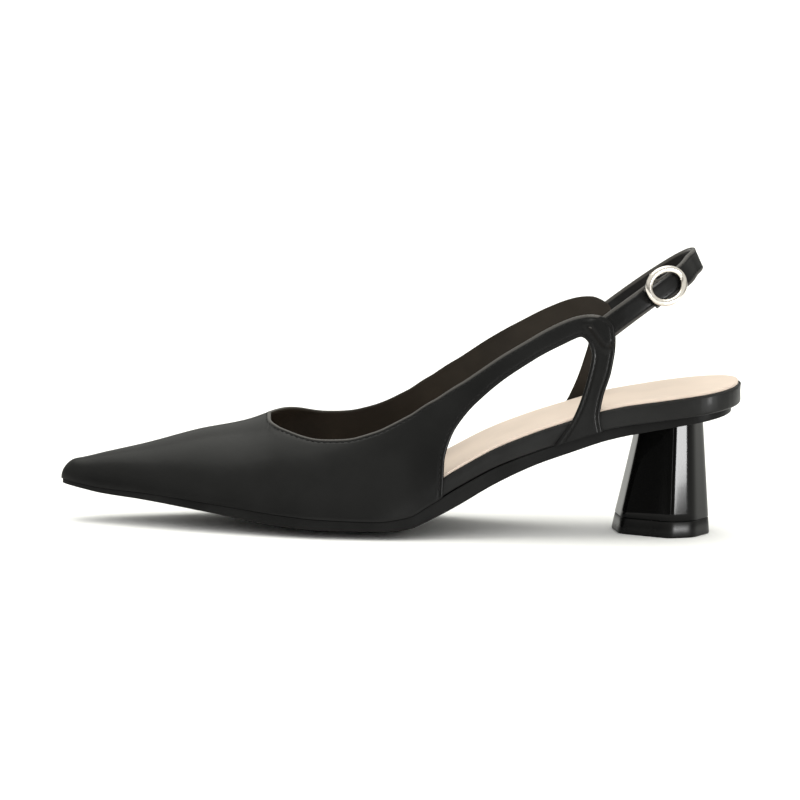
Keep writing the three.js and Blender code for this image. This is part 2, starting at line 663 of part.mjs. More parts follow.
// Round tube with its section turned to the ring's own middle, so that it never twists
function ringTube(count, sides) {
  const middle = strapPoint('outer', barTurn, 0, ringOut);
  const rings = Array.from({ length: count }, (_, i) => {
    const angle = i * 2 * Math.PI / count;
    const point = ringPoint(angle);
    const way = ringPoint(angle + 0.01).sub(ringPoint(angle - 0.01)).normalize();
    const spoke = point.clone().sub(middle);
    spoke.addScaledVector(way, -spoke.dot(way)).normalize();
    const lift = way.clone().cross(spoke);
    return Array.from({ length: sides + 1 }, (_, k) => {
      const around = (k % sides) * 2 * Math.PI / sides;
      return point.clone()
        .addScaledVector(spoke, Math.cos(around) * WIRE / 2)
        .addScaledVector(lift, Math.sin(around) * WIRE / 2);
    });
  });
  const shell = new Shell();
  shell.sheet([...rings, rings[0]]);
  return shell.geometry();
}

const foldRadius = BAR_WIRE / 2 + GAP + STRAP_THICKNESS / 2;
const barOut = STRAP_THICKNESS / 2 - foldRadius;
const barEnd = ringRadius / STRAP_WIDTH;

function ringGeometry() {
  const post = (sign) => [ringOut, (ringOut + barOut) / 2, barOut]
    .map((out) => strapPoint('outer', barTurn, sign * barEnd, out));
  const staple = [...post(1), strapPoint('outer', barTurn, 0, barOut), ...post(-1).reverse()];
  return fromSolid(toSolid(ringTube(32, 8)).add(toSolid(wireGeometry(staple, BAR_WIRE, 8))));
}

// The stay ends in a tube folded round the bar
function stayGeometry() {
  const end = turnFor(RING_PLACE - BAR_WIRE / 2 - GAP);
  const stations = spread(overlapTurn, end, 12).map((turn) => ({ side: 'outer', turn, out: 0 }));
  const tube = (diameter, width) => {
    const line = [-width / 2, width / 2].map((up) => strapPoint('outer', barTurn, up / STRAP_WIDTH, barOut));
    return toSolid(wireGeometry(line, diameter, 12));
  };
  return fromSolid(toSolid(strapGeometry(stations, STAY_CUT))
    .add(tube(2 * foldRadius, FOLD_WIDTH))
    .subtract(tube(BAR_WIRE + 2 * GAP, FOLD_WIDTH + 2)));
}

// Finishes of the materials
const finish = (color, roughness, metalness = 0) => new THREE.MeshStandardMaterial({ color, roughness, metalness });
const leather = finish(0x17171a, 0.42);
const strapLeather = finish(0x141416, 0.38);
const boardWrap = finish(0x161618, 0.4);
const sockLeather = finish(0xe6d9ca, 0.7);
const soleRubber = finish(0x101011, 0.6);
const heelLacquer = finish(0x08080a, 0.12);
const tipRubber = finish(0x0c0c0d, 0.35);
const paleMetal = finish(0xd9d2c8, 0.22, 1);

const high_heel = new THREE.Group();

function addPiece(name, geometry, material) {
  const mesh = new THREE.Mesh(geometry, material);
  mesh.name = name;
  high_heel.add(mesh);
}

addPiece('outsole', outsoleGeometry(), soleRubber);
addPiece('insole_board', boardGeometry(), boardWrap);
addPiece('insole_sock', sockGeometry(), sockLeather);
addPiece('upper', upperGeometry(), leather);
addPiece('heel_block', heelBlockGeometry(), heelLacquer);
addPiece('heel_tip', heelTipGeometry(), tipRubber);
addPiece('sling_strap', slingGeometry(), strapLeather);
addPiece('buckle_stay', stayGeometry(), strapLeather);
addPiece('buckle_ring', ringGeometry(), paleMetal);

export default high_heel;
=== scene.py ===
# %% [markdown]
# # A high heel, dressed in Blender
# A left slingback pump in black leather: pointed toe, a cut-out at each side, a buckled sling and a
# glossy eight-sided heel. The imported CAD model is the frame, and every piece here stands where its
# CAD node stands. Lengths are worked out in millimetres and become metres when a mesh is made.

import math

import bmesh
import bpy
import numpy as np
from mathutils import Matrix, Vector


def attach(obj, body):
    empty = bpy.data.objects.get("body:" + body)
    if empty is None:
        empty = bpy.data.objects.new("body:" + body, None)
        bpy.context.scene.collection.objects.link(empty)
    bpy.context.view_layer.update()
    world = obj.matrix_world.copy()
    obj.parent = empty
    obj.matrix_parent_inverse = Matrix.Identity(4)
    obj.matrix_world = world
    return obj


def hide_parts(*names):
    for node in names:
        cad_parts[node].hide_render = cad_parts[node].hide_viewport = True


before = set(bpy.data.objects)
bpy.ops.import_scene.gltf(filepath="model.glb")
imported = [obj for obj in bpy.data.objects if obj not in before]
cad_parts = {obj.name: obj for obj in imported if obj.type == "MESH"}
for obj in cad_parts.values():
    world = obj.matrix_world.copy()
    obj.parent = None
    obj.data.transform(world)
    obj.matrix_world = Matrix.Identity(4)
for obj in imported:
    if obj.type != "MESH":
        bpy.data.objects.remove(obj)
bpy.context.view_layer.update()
MM = 0.001
BODY = "root"

# %% [markdown]
# ## The camera
# A shoe is shot with a long lens from a little above its side. The photograph was matched: the
# lens, the height and a small roll put the toe, the ball and the heel where they stand in it.
# The camera comes first, because every later choice is judged through it.

# %% Camera
CAMERA_DISTANCE = 1500
CAMERA_RISE = math.radians(7.3)
CAMERA_SWING = math.radians(-1.5)
CAMERA_ROLL = math.radians(1.4)
MM_PER_PIXEL = 0.3808
PHOTO_WIDTH = 800
SENSOR = 36
TARGET = Vector((-101.0, 0.0, 48.3))

camera_data = bpy.data.cameras.new("camera")
camera_data.sensor_width = SENSOR
camera_data.lens = SENSOR * CAMERA_DISTANCE / (MM_PER_PIXEL * PHOTO_WIDTH)
camera_data.clip_start = 0.05
camera_data.clip_end = 50
camera = bpy.data.objects.new("camera", camera_data)
bpy.context.collection.objects.link(camera)
back = Vector((
    math.sin(CAMERA_SWING) * math.cos(CAMERA_RISE),
    -math.cos(CAMERA_SWING) * math.cos(CAMERA_RISE),
    math.sin(CAMERA_RISE),
))
right = Vector((0, 0, 1)).cross(back).normalized()
up = back.cross(right)
rolled_right = math.cos(CAMERA_ROLL) * right + math.sin(CAMERA_ROLL) * up
rolled_up = math.cos(CAMERA_ROLL) * up - math.sin(CAMERA_ROLL) * right
turn = Matrix((rolled_right, rolled_up, back)).transposed()
camera.matrix_world = Matrix.Translation((TARGET + back * CAMERA_DISTANCE) * MM) @ turn.to_4x4()
bpy.context.scene.camera = camera
print("lens in mm:", round(camera_data.lens, 1))

# %% [markdown]
# ## Shader maths as Python
# A material is a graph of nodes. Written out node by node it can't be read, so a small class wraps a
# socket and gives it the operators of arithmetic: an expression on values adds its Math nodes.
# Colours are mixed by a Mix node, and any other node comes from one method.

# %% A value in a shader graph
class Value:
    """One output of a node. Sums, products and differences of values add Math nodes."""

    def __init__(self, graph, socket):
        self.graph = graph
        self.socket = socket

    def math(self, operation, *others):
        return self.graph.node("ShaderNodeMath", {"operation": operation}, [self, *others])[0]

    def __add__(self, other):
        return self.math("ADD", other)

    __radd__ = __add__

    def __mul__(self, other):
        return self.math("MULTIPLY", other)

    __rmul__ = __mul__

    def __sub__(self, other):
        return self.math("SUBTRACT", other)

    def __rsub__(self, other):
        return (self * -1) + other

    def ramp(self, start, end):
        """Goes smoothly from 0 to 1 while the value goes from start to end."""
        settings = {"interpolation_type": "SMOOTHSTEP"}
        return self.graph.node("ShaderNodeMapRange", settings, [self, start, end])[0]


class Graph:
    """A material's nodes, with its shader ready."""

    def __init__(self, name, **constants):
        self.material = bpy.data.materials.new(name)
        self.material.use_nodes = True
        self.tree = self.material.node_tree
        self.shader = next(n for n in self.tree.nodes if n.type == "BSDF_PRINCIPLED")
        for socket, value in constants.items():
            self.shader.inputs[socket.replace("_", " ").title().replace("Ior", "IOR")].default_value = value

    def node(self, kind, settings, inputs):
        """A node of that kind. Its settings are set first, then its sockets, by place or by name."""
        node = self.tree.nodes.new(kind)
        for name, value in settings.items():
            setattr(node, name, value)
        pairs = inputs.items() if isinstance(inputs, dict) else enumerate(inputs)
        for socket, value in pairs:
            if isinstance(value, Value):
                self.tree.links.new(value.socket, node.inputs[socket])
            elif value is not None:
                node.inputs[socket].default_value = value
        return [Value(self, output) for output in node.outputs]

    def place(self):
        """The point's place on the object, in metres."""
        return self.node("ShaderNodeTexCoord", {}, {})[3]

    def attribute(self, name):
        """A number that the mesh carries at each vertex."""
        return self.node("ShaderNodeAttribute", {"attribute_name": name}, {})[2]

    def noise(self, place, scale, detail):
        """A soft random pattern between 0 and 1."""
        return self.node("ShaderNodeTexNoise", {}, {"Vector": place, "Scale": scale, "Detail": detail})[0]

    def cells(self, place, scale):
        """Distance from the walls of a net of random cells."""
        settings = {"feature": "DISTANCE_TO_EDGE"}
        return self.node("ShaderNodeTexVoronoi", settings, {"Vector": place, "Scale": scale})[0]

    def stretched(self, place, stretch):
        """The place, drawn out along each axis."""
        return self.node("ShaderNodeVectorMath", {"operation": "MULTIPLY"}, [place, stretch])[0]

    def mix(self, share, first, second):
        """A colour between two colours."""
        return self.node("ShaderNodeMix", {"data_type": "RGBA"}, {0: share, 6: first, 7: second})[2]

    def bump(self, height, strength, distance, under=None):
        """A normal bent by a height, in metres times distance, over another bump if one is given."""
        sockets = {"Strength": strength, "Distance": distance, "Height": height, "Normal": under}
        return self.node("ShaderNodeBump", {}, sockets)[0]

    def feed(self, **sockets):
        """Links values to the shader's sockets, and gives the finished material."""
        for socket, value in sockets.items():
            self.tree.links.new(value.socket, self.shader.inputs[socket.replace("_", " ").title()])
        return self.material


def grey(level, warmth=0.0):
    """A near-grey colour: warmth adds red and takes blue away."""
    return (level * (1 + warmth), level, level * (1 - warmth), 1.0)


# %% [markdown]
# ## Meshes from arrays
# Every surface below is a grid of points worked out with numpy. A grid may close on itself along
# either way, like a tube or a ring.

# %% Grid to mesh
def grid_faces(rows, columns, close_rows=False, close_columns=False, flip=False):
    """Quads between neighbouring points of a grid, wrapping round where it is closed."""
    r = np.arange(rows if close_rows else rows - 1)[:, None]
    c = np.arange(columns if close_columns else columns - 1)[None, :]
    r_next = (r + 1) % rows
    c_next = (c + 1) % columns
    corners = [r * columns + c, r * columns + c_next, r_next * columns + c_next, r_next * columns + c]
    quads = np.stack(corners, -1).reshape(-1, 4)
    return quads[:, ::-1] if flip else quads


def join(*parts):
    """Several (points, faces, layer) parts as one: layer is the number of each part's material, one
    for the whole part or one for each face."""
    points, faces, layers, start = [], [], [], 0
    for place, quads, layer in parts:
        points.append(place.reshape(-1, 3))
        faces.append(quads + start)
        layers.append(np.full(len(quads), layer))
        start += len(points[-1])
    return np.concatenate(points), np.concatenate(faces), np.concatenate(layers)


WELD_REACH = 0.002
SLIVER = 0.0005


def make_piece(name, shape, materials, slot, node=None, numbers=None, weld=True, sharp=None):
    """A named object from a joined shape in millimetres: welded, facing out and riding on the part's
    body. It takes the place of a CAD node, if one is named. slot is not used. numbers are values for
    each point that a material may read."""
    points, faces, layers = shape
    mesh = bpy.data.meshes.new(name)
    mesh.from_pydata((points * MM).tolist(), [], faces.tolist())
    for material in materials:
        mesh.materials.append(material)
    mesh.polygons.foreach_set("material_index", layers.astype(np.int32))
    for key, values in (numbers or {}).items():
        layer = mesh.attributes.new(key, "FLOAT", "POINT")
        layer.data.foreach_set("value", values.reshape(-1).astype(np.float32))
    draft = bmesh.new()
    draft.from_mesh(mesh)
    if weld:
        bmesh.ops.remove_doubles(draft, verts=draft.verts, dist=WELD_REACH * MM)
    bmesh.ops.dissolve_degenerate(draft, edges=draft.edges, dist=SLIVER * MM)
    bmesh.ops.recalc_face_normals(draft, faces=draft.faces)
    draft.to_mesh(mesh)
    draft.free()
    mesh.shade_smooth()
    if sharp is not None:
        mesh.set_sharp_from_angle(angle=math.radians(sharp))
    piece = bpy.data.objects.new(name, mesh)
    bpy.context.collection.objects.link(piece)
    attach(piece, BODY)
    if node:
        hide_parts(node)
    print(name, "triangles:", sum(len(p.vertices) - 2 for p in mesh.polygons))


# %% Helpers for arrays
def unit(vectors):
    """The same directions, one long."""
    return vectors / np.maximum(np.linalg.norm(vectors, axis=-1, keepdims=True), 1e-12)


def smooth(start, end, value):
    """0 before start, 1 after end, with a soft S between."""
    t = np.clip((np.asarray(value, float) - start) / (end - start), 0, 1)
    return t * t * (3 - 2 * t)


def lerp(first, second, share):
    """The value a share of the way from the first to the second."""
    return first + (second - first) * share


def bell(value, middle, spread):
    """A soft bump, 1 at its middle: a bell curve."""
    return np.exp(-((value - middle) / spread) ** 2)


def run_along(line):
    """Length of a line up to each of its points, or of many lines at once."""
    steps = np.linalg.norm(np.diff(line, axis=-2), axis=-1)
    return np.concatenate([np.zeros_like(steps[..., :1]), np.cumsum(steps, -1)], -1)


def sample(at, run, values):
    """Points or directions at places along a run, each coordinate read straight between its values."""
    return np.stack([np.interp(at, run, values[:, k]) for k in range(3)], -1)


def end_cap(ring, middle, share):
    """A disc that closes a ring: one more ring a share of the way in, and one almost at the middle."""
    rings = np.stack([ring, lerp(ring, middle, share), lerp(ring, middle, 0.999)])
    return rings, grid_faces(3, len(ring), close_columns=True), 0


# %% [markdown]
# ## The last
# A shoe takes its shape from its last, the wooden foot that it is made on. The CAD model describes
# it with a short table of sections, and the same table and the same formulas are used here, so that
# a fine grid in Blender lies exactly on the coarse solid of the CAD.

# %% Driving sizes, as in the CAD
LENGTH = 258
HEEL_SETBACK = 28.6
BALL_WIDTH = 75
SEAT_WIDTH = 54.5
TOE_SPRING = 14.2
HEEL_RISE = 48.4
CROWN_RISE = 32.8
RIDGE_SHIFT = 6
SOLE_CUP = 3.9
SOLE_EDGE = 3.4
NOSE_LENGTH = 6
SEAT_ROUND = {"outer": 21, "inner": 31}
SEAT_POWER = 2.2
CUP_POWER = 2.4
FLEX_END = 0.83
WIDTH_BLEND = (0.5, 0.8)
RIDGE_BLEND = (0.05, 0.35)
GAP = 0.3
WALL = 1.4
BOARD_THICKNESS = 7.4
BOARD_FRONT = 2.2
SOCK_THICKNESS = 1.0
SOCK_MARGIN = 0.8
OUTSOLE_INSET = 0.6
SEAT_INSET = 3.4
COLLAR_RISE = 45
TOE_X = HEEL_SETBACK - LENGTH
SIDES = {"outer": -1, "inner": 1}

# %% Sections of the last
SECTION_COLUMNS = ("at", "outer", "inner", "spring", "rise", "edge", "cup", "crown")
SECTIONS = np.array([
    (0.00, 0.045, 0.045, 1.000, 0.000, 0.48, 0.05, 0.21),
    (0.03, 0.092, 0.090, 0.910, 0.000, 0.52, 0.10, 0.28),
    (0.06, 0.135, 0.129, 0.825, 0.000, 0.58, 0.16, 0.37),
    (0.12, 0.220, 0.207, 0.745, 0.000, 0.75, 0.28, 0.50),
    (0.20, 0.327, 0.305, 0.585, 0.000, 0.95, 0.46, 0.72),
    (0.27, 0.408, 0.383, 0.420, 0.000, 1.12, 0.71, 0.885),
    (0.30, 0.440, 0.415, 0.350, 0.000, 1.18, 0.82, 0.990),
    (0.33, 0.466, 0.443, 0.300, 0.000, 1.17, 0.91, 1.115),
    (0.38, 0.497, 0.478, 0.250, 0.000, 1.12, 1.00, 1.22),
    (0.46, 0.505, 0.470, 0.244, 0.002, 1.00, 1.02, 1.50),
    (0.51, 0.487, 0.435, 0.210, 0.032, 1.25, 0.95, 1.76),
    (0.54, 0.472, 0.412, 0.150, 0.112, 1.61, 0.80, 1.95),
    (0.58, 0.463, 0.397, 0.080, 0.242, 1.94, 0.60, 2.25),
    (0.63, 0.468, 0.398, 0.020, 0.418, 1.78, 0.42, 2.65),
    (0.69, 0.490, 0.420, 0.000, 0.579, 1.46, 0.25, 3.10),
    (0.75, 0.504, 0.450, 0.000, 0.692, 1.35, 0.10, 3.60),
    (0.80, 0.506, 0.474, 0.000, 0.780, 1.24, 0.00, 4.00),
    (0.90, 0.500, 0.496, 0.000, 0.899, 0.99, 0.00, 4.60),
    (1.00, 0.500, 0.500, 0.000, 1.000, 0.78, 0.00, 5.00),
])


def through(places, heights):
    """Smooth curve through the rows of a table with no overshoot: the slope at a row is the weighted
    harmonic mean of the slopes beside it, and nothing where they change sign."""
    x, y = np.asarray(places, float), np.asarray(heights, float)
    step = np.diff(x)
    slope = np.diff(y) / step
    tangent = np.concatenate([slope[:1], np.zeros(len(x) - 2), slope[-1:]])
    before = 2 * step[1:] + step[:-1]
    after = step[1:] + 2 * step[:-1]
    same = slope[:-1] * slope[1:] > 0
    tangent[1:-1][same] = ((before + after)[same]
                           / (before[same] / slope[:-1][same] + after[same] / slope[1:][same]))

    def curve(at):
        place = np.clip(at, x[0], x[-1])
        i = np.clip(np.searchsorted(x, place, side="left") - 1, 0, len(x) - 2)
        t = (place - x[i]) / step[i]
        rest = 1 - t
        return (y[i] * rest * rest * (1 + 2 * t) + y[i + 1] * t * t * (3 - 2 * t)
                + step[i] * t * rest * (tangent[i] * rest - tangent[i + 1] * t))

    return curve


section = {name: through(SECTIONS[:, 0], SECTIONS[:, i]) for i, name in enumerate(SECTION_COLUMNS)}
print("sections:", len(SECTIONS))


# %% Shapes of the last
def share_at(x):
    return (x - TOE_X) / LENGTH


def x_at(share):
    return TOE_X + share * LENGTH


def nose_round(share):
    """A quarter circle that opens the toe tip from nothing."""
    left = np.clip(share * LENGTH / NOSE_LENGTH, 0, 1)
    return np.sqrt(np.maximum(1 - (1 - left) ** 2, 0))


def seat_round(side, share):
    """A full, slightly squared curve that closes the back of the seat."""
    left = np.clip((1 - share) * LENGTH / SEAT_ROUND[side], 0, 1)
    return np.maximum(1 - (1 - left) ** SEAT_POWER, 0) ** (1 / SEAT_POWER)


def half_width(side, share):
    """Half-width of the last's feather edge on one side."""
    width = lerp(BALL_WIDTH, SEAT_WIDTH, smooth(*WIDTH_BLEND, share))
    return width * section[side](share) * nose_round(share) * seat_round(side, share)


def edge_curve(share):
    return TOE_SPRING * section["spring"](share) + HEEL_RISE * section["rise"](share)


def sole_edge(share):
    """Underside of the sole at its edge: the table, then the straight slope of the seat."""
    along = (share - FLEX_END) / (1 - FLEX_END)
    slope = lerp(edge_curve(FLEX_END), edge_curve(1.0), along)
    return np.where(share <= FLEX_END, edge_curve(share), slope)


def feather(share):
    """The feather edge, where the upper meets the sole."""
    return sole_edge(share) + SOLE_EDGE * section["edge"](share)


def cup(share, y):
    """How far a point of the sole hangs below its edge."""
    half = np.where(y < 0, half_width("outer", share), half_width("inner", share))
    out = np.minimum(np.abs(y) / np.maximum(half, 1e-6), 1)
    return SOLE_CUP * section["cup"](share) * (1 - out ** CUP_POWER)


def crown(share):
    return CROWN_RISE * section["crown"](share) * nose_round(share)


def angle_for(share, rise):
    """Angle up the dome for a height above the feather edge."""
    return np.arcsin(np.clip(rise / np.maximum(crown(share), 1e-9), 0, 1))


def ridge_shift(share):
    """How far the ridge lies to the inner side, from nothing at the toe."""
    return RIDGE_SHIFT * smooth(*RIDGE_BLEND, share)


def dome(side, share, angle):
    """Outer surface of the upper: half an ellipse that stands on the feather edge, and leans so that
    its top is over the ridge."""
    return np.stack([
        x_at(share),
        SIDES[side] * half_width(side, share) * np.cos(angle) + ridge_shift(share) * np.sin(angle),
        feather(share) + crown(share) * np.sin(angle),
    ], -1)


def dome_normal(side, share, angle):
    """Cross product of the surface's two directions, which run the other way on the inner side."""
    step = 1e-4
    along = dome(side, np.minimum(share + step, 1), angle) - dome(side, np.maximum(share - step, 1e-6), angle)
    across = dome(side, share, angle + step) - dome(side, share, angle - step)
    return unit(np.cross(along, across)) * -SIDES[side]


# %% Sizes of the sling, as in the CAD
STRAP_WIDTH = 8.8
STRAP_THICKNESS = 1.8
SLING_TILT = math.radians(38.5)
BACK_STAND = math.radians(13)
SLING_REACH = 38.1
JUNCTION_SHARE = 0.807
JUNCTION_RISE = 41.0
SLING_SAG = 2.8
OVERLAP = 8
RING_PLACE = 20.6
RING_OUTER = 15.4
WIRE = 2.4
TAIL_LENGTH = 6.6
RIDE_TOP = 0.45
RIDE_FOOT = 0.96
FOLD_WIDTH = 7
STAY_CUT = -0.12
BAR_WIRE = 1.6
LAYER = STRAP_THICKNESS + GAP
ALONG = np.array([math.cos(SLING_TILT), 0, math.sin(SLING_TILT)])
UP = np.array([-math.sin(SLING_TILT), 0, math.cos(SLING_TILT)])
JUNCTION = np.array([x_at(JUNCTION_SHARE), 0, float(feather(JUNCTION_SHARE)) + JUNCTION_RISE])

# %% [markdown]
# ## The upper
# The upper is cut from one piece of leather: the vamp wraps the toes, and a band runs back from it
# and turns down into a strap that is lasted under the insole. Its free edges are folded over and
# stitched. Here the leather is a ribbon: each row of a table is a line across it, and points across
# the row lie on the last. A subdivided box would need sculpting by hand, and a table can be tuned.

# %% Rows of the ribbon
RIBBON = np.array([
    (0.028, 0.000, 0.028, np.nan),
    (0.058, 0.000, 0.060, np.nan),
    (0.094, 0.000, 0.100, np.nan),
    (0.138, 0.000, 0.150, np.nan),
    (0.180, 0.000, 0.200, np.nan),
    (0.222, 0.000, 0.252, np.nan),
    (0.268, 0.000, 0.306, np.nan),
    (0.300, 0.000, 0.307, 0.715),
    (0.335, 0.000, 0.320, 0.682),
    (0.400, 0.000, 0.350, 0.649),
    (0.450, 0.000, 0.392, 0.637),
    (0.492, 0.000, 0.434, 0.674),
    (0.530, 0.000, 0.474, 0.756),
    (0.560, 0.000, 0.514, 0.839),
    (0.561, 0.284, 0.552, 0.855),
    (0.576, 0.508, 0.590, 0.868),
    (0.604, 0.622, 0.625, 0.900),
    (0.642, 0.702, 0.662, 0.943),
    (0.686, 0.774, 0.706, 1.000),
    (0.730, 0.828, 0.748, 1.030),
    (0.754, 0.848, 0.780, 0.985),
    (0.768, 0.760, 0.803, 0.860),
    (0.772, 0.660, 0.806, 0.700),
    (0.766, 0.480, 0.801, 0.490),
    (0.756, 0.300, 0.790, 0.290),
    (0.744, 0.160, 0.786, 0.140),
    (0.721, 0.000, 0.790, 0.000),
])
LAST_ROW = len(RIBBON) - 1
THROAT_ROW = 6
CUT_ROW = 13
COLLAR_ROW = 19
INNER_LIFT = 0.125
INNER_BAND_LIFT = 0.06
INNER_BACK = 3
INNER_CORNER = (1.43, 1.29)
NOSE_SHARES = np.array([0, 0.0005, 0.0012, 0.0025, 0.004, 0.006, 0.009, 0.013, 0.018, 0.023])


def ribbon_curves(side):
    """Smooth curves through the ribbon's table, as functions of the row. In the CAD the inner topline
    follows the ridge for about 4 mm behind the throat. The angles in INNER_CORNER, in the two rows
    after the throat, take it off the ridge at once, so that the throat is one round curve."""
    row = np.arange(len(RIBBON))
    low, low_rise, high, high_rise = RIBBON.T
    if side == "inner":
        band = lerp(INNER_LIFT, INNER_BAND_LIFT, smooth(THROAT_ROW + 2, THROAT_ROW + 7, row))
        lift = (band * smooth(THROAT_ROW - 1, THROAT_ROW + 0.5, row)
                * (1 - smooth(COLLAR_ROW - 3, COLLAR_ROW + 3, row)))
        set_back = (INNER_BACK / LENGTH * smooth(THROAT_ROW + 7, COLLAR_ROW, row)
                    * (1 - 0.75 * smooth(COLLAR_ROW + 1, LAST_ROW, row)))
        low, high, high_rise = low + set_back, high + set_back, high_rise + lift
    high_angle = angle_for(high, COLLAR_RISE * np.nan_to_num(high_rise))
    high_angle = np.where(np.isnan(high_rise), math.pi / 2, high_angle)
    if side == "inner":
        high_angle[THROAT_ROW + 1:THROAT_ROW + 3] = INNER_CORNER
    low_angle = angle_for(low, COLLAR_RISE * low_rise)
    return [through(row, values) for values in (low, low_angle, high, high_angle)]


def ribbon_rows(side, rows):
    """low, low_angle, high and high_angle for each row, with the nose lines put before them."""
    nose = np.stack([NOSE_SHARES, 0 * NOSE_SHARES, NOSE_SHARES, 0 * NOSE_SHARES + math.pi / 2], -1)
    return np.concatenate([nose, np.stack([curve(rows) for curve in ribbon_curves(side)], -1)])


# %% Points across the ribbon
EDGE_STEPS = np.array([0, 0.06, 0.16, 0.3, 0.5, 0.75, 1.05, 1.35, 1.65, 1.9, 2.15, 2.5, 3.0])
EDGE_ROOM = 2.4 * EDGE_STEPS[-1]
MIDDLE_STEPS = 14
MEASURE_STEPS = 61
ROWS_BETWEEN = 14
ROWS = np.linspace(0, LAST_ROW, LAST_ROW * ROWS_BETWEEN + 1)


def across_shares(ends, side):
    """Places across each row: fixed distances in millimetres near both edges, even between them. Where
    a row is shorter than EDGE_ROOM, the fixed distances shrink with it."""
    even = np.linspace(0, 1, MEASURE_STEPS)
    low, low_angle, high, high_angle = (ends[:, i:i + 1] for i in range(4))
    line = dome(side, lerp(low, high, even), lerp(low_angle, high_angle, even))
    run = run_along(line)
    total = run[:, -1:]
    reach = np.minimum(1, total / EDGE_ROOM)
    near = EDGE_STEPS * reach
    middle = np.linspace(0, 1, MIDDLE_STEPS + 2)[1:-1]
    between = lerp(near[:, -1:], total - near[:, -1:], middle)
    wanted = np.concatenate([near, between, (total - near)[:, ::-1]], 1)
    return np.stack([np.interp(w, r, even) for w, r in zip(wanted, run)])


def skin(side):
    """Base points and normals of the upper's outer surface, a row for each line across the leather."""
    ends = ribbon_rows(side, ROWS)
    across = across_shares(ends, side)
    low, low_angle, high, high_angle = (ends[:, i:i + 1] for i in range(4))
    share = lerp(low, high, across)
    angle = lerp(low_angle, high_angle, across)
    point = dome(side, share, angle)
    normal = dome_normal(side, np.maximum(share, 1e-5), angle)
    ridge = np.abs(angle - math.pi / 2) < 1e-6
    point[..., 1][ridge] = ridge_shift(share[ridge])
    normal[..., 1][ridge] = 0
    normal[0] = (-1, 0, 0)
    return point, unit(normal)


skins = {side: skin(side) for side in SIDES}
row_number = np.concatenate([np.full(len(NOSE_SHARES), -1.0), ROWS])
print("points on one side of the upper:", skins["outer"][0].shape[:2])

# %% [markdown]
# ## Leather
# The upper is smooth calf with a satin finish: nearly black, a little lighter where light grazes it,
# with grain too fine to see from a step away. Its colour hardly changes, so the look comes from
# roughness: broad soft patches, fine pores, and a tighter shine on folded edges, where a paler grey
# is also a painted highlight along the lip. The lining is a matt dark leather.

# %% Leather materials
PATCHES_PER_METRE = 38
PORES_PER_METRE = 1500
CREASES_PER_METRE = 70
CREASE_STRETCH = (1.0, 1.0, 1.6)
CREASE_DEPTH = 0.0006
PORE_DEPTH = 0.00005
GRAIN_DEPTH = 0.00003
PATCH_SHINE = 0.12
PORE_SHINE = 0.06
BURNISH_SHINE = 0.08
CLOUD_RANGE = (0.3, 0.7)
# A pale grey mixed in along the lip of folded edges: a painted highlight.
PAINTED_LIP_HIGHLIGHT = grey(0.06, 0.06)
LIP_HIGHLIGHT_BLEND = (0.7, 1.4)


def leather(name, colour, roughness, pore=0.25, grain=2600, spread=1.3, folded=False):
    """Smooth leather: cells of fine grain, soft patches of shine, and faint long creases. Where it is
    folded at an edge it is smoother in its last millimetre, and paler there: a painted highlight."""
    graph = Graph(name, specular_ior_level=0.11, coat_weight=0.035, coat_roughness=0.16)
    place = graph.place()
    patches = graph.noise(place, PATCHES_PER_METRE, 3)
    fine = graph.cells(place, grain)
    pores = graph.noise(place, PORES_PER_METRE, 2)
    creases = graph.noise(graph.stretched(place, CREASE_STRETCH), CREASES_PER_METRE, 2)
    deep = tuple(c / spread for c in colour[:3]) + (1.0,)
    pale = tuple(min(c * spread, 1) for c in colour[:3]) + (1.0,)
    tone = graph.mix(patches.ramp(*CLOUD_RANGE), deep, pale)
    shine = roughness + (patches - 0.5) * PATCH_SHINE + (pores - 0.5) * PORE_SHINE
    # Near a folded edge the roughness drops, and the colour turns toward a paler grey: a painted highlight on
    # the lip.
    if folded:
        rim = 1 - graph.attribute("edge").ramp(*LIP_HIGHLIGHT_BLEND)
        tone = graph.mix(rim, tone, PAINTED_LIP_HIGHLIGHT)
        shine = shine - rim * BURNISH_SHINE
    relief = graph.bump(creases, 0.25, CREASE_DEPTH)
    relief = graph.bump(pores, pore * 0.6, PORE_DEPTH, relief)
    relief = graph.bump(fine.ramp(0.0, 0.25), pore, GRAIN_DEPTH, relief)
    return graph.feed(base_color=tone, roughness=shine, normal=relief)


# The upper and the straps carry the painted lip highlight; the board, lining and sock do not.
upper_leather = leather("upper_leather", grey(0.0058), 0.35, folded=True)
strap_leather = leather("strap_leather", grey(0.0058), 0.36, folded=True)
board_wrap = leather("board_wrap", grey(0.011), 0.44)
lining_leather = leather("lining_leather", grey(0.016, 0.25), 0.7, 0.35, 1900)
sock_leather = leather("sock_leather", (0.625, 0.525, 0.45, 1.0), 0.62, 0.3, 2100, spread=1.05)


def thread_material():
    """Waxed thread: dark, with a twist along it."""
    graph = Graph("thread", roughness=0.7, specular_ior_level=0.1)
    settings = {"bands_direction": "DIAGONAL"}
    twist = graph.node("ShaderNodeTexWave", settings, {"Vector": graph.place(), "Scale": 900})[1]
    tone = graph.mix(twist, grey(0.008), grey(0.020))
    return graph.feed(base_color=tone, normal=graph.bump(twist, 0.4, 0.0001))


thread = thread_material()

# %% [markdown]
# ## Folded edges
# The maker pares the leather thin along its free edges, folds it over, and sews it close by. It shows
# as a round, slightly raised lip, a groove pulled down by the thread, and the stitches in it. The
# distance of each point from the nearest free edge is all that this takes: the wall is rounded off
# in its last 0.7 mm, and a lip and a groove are added to the outer face.

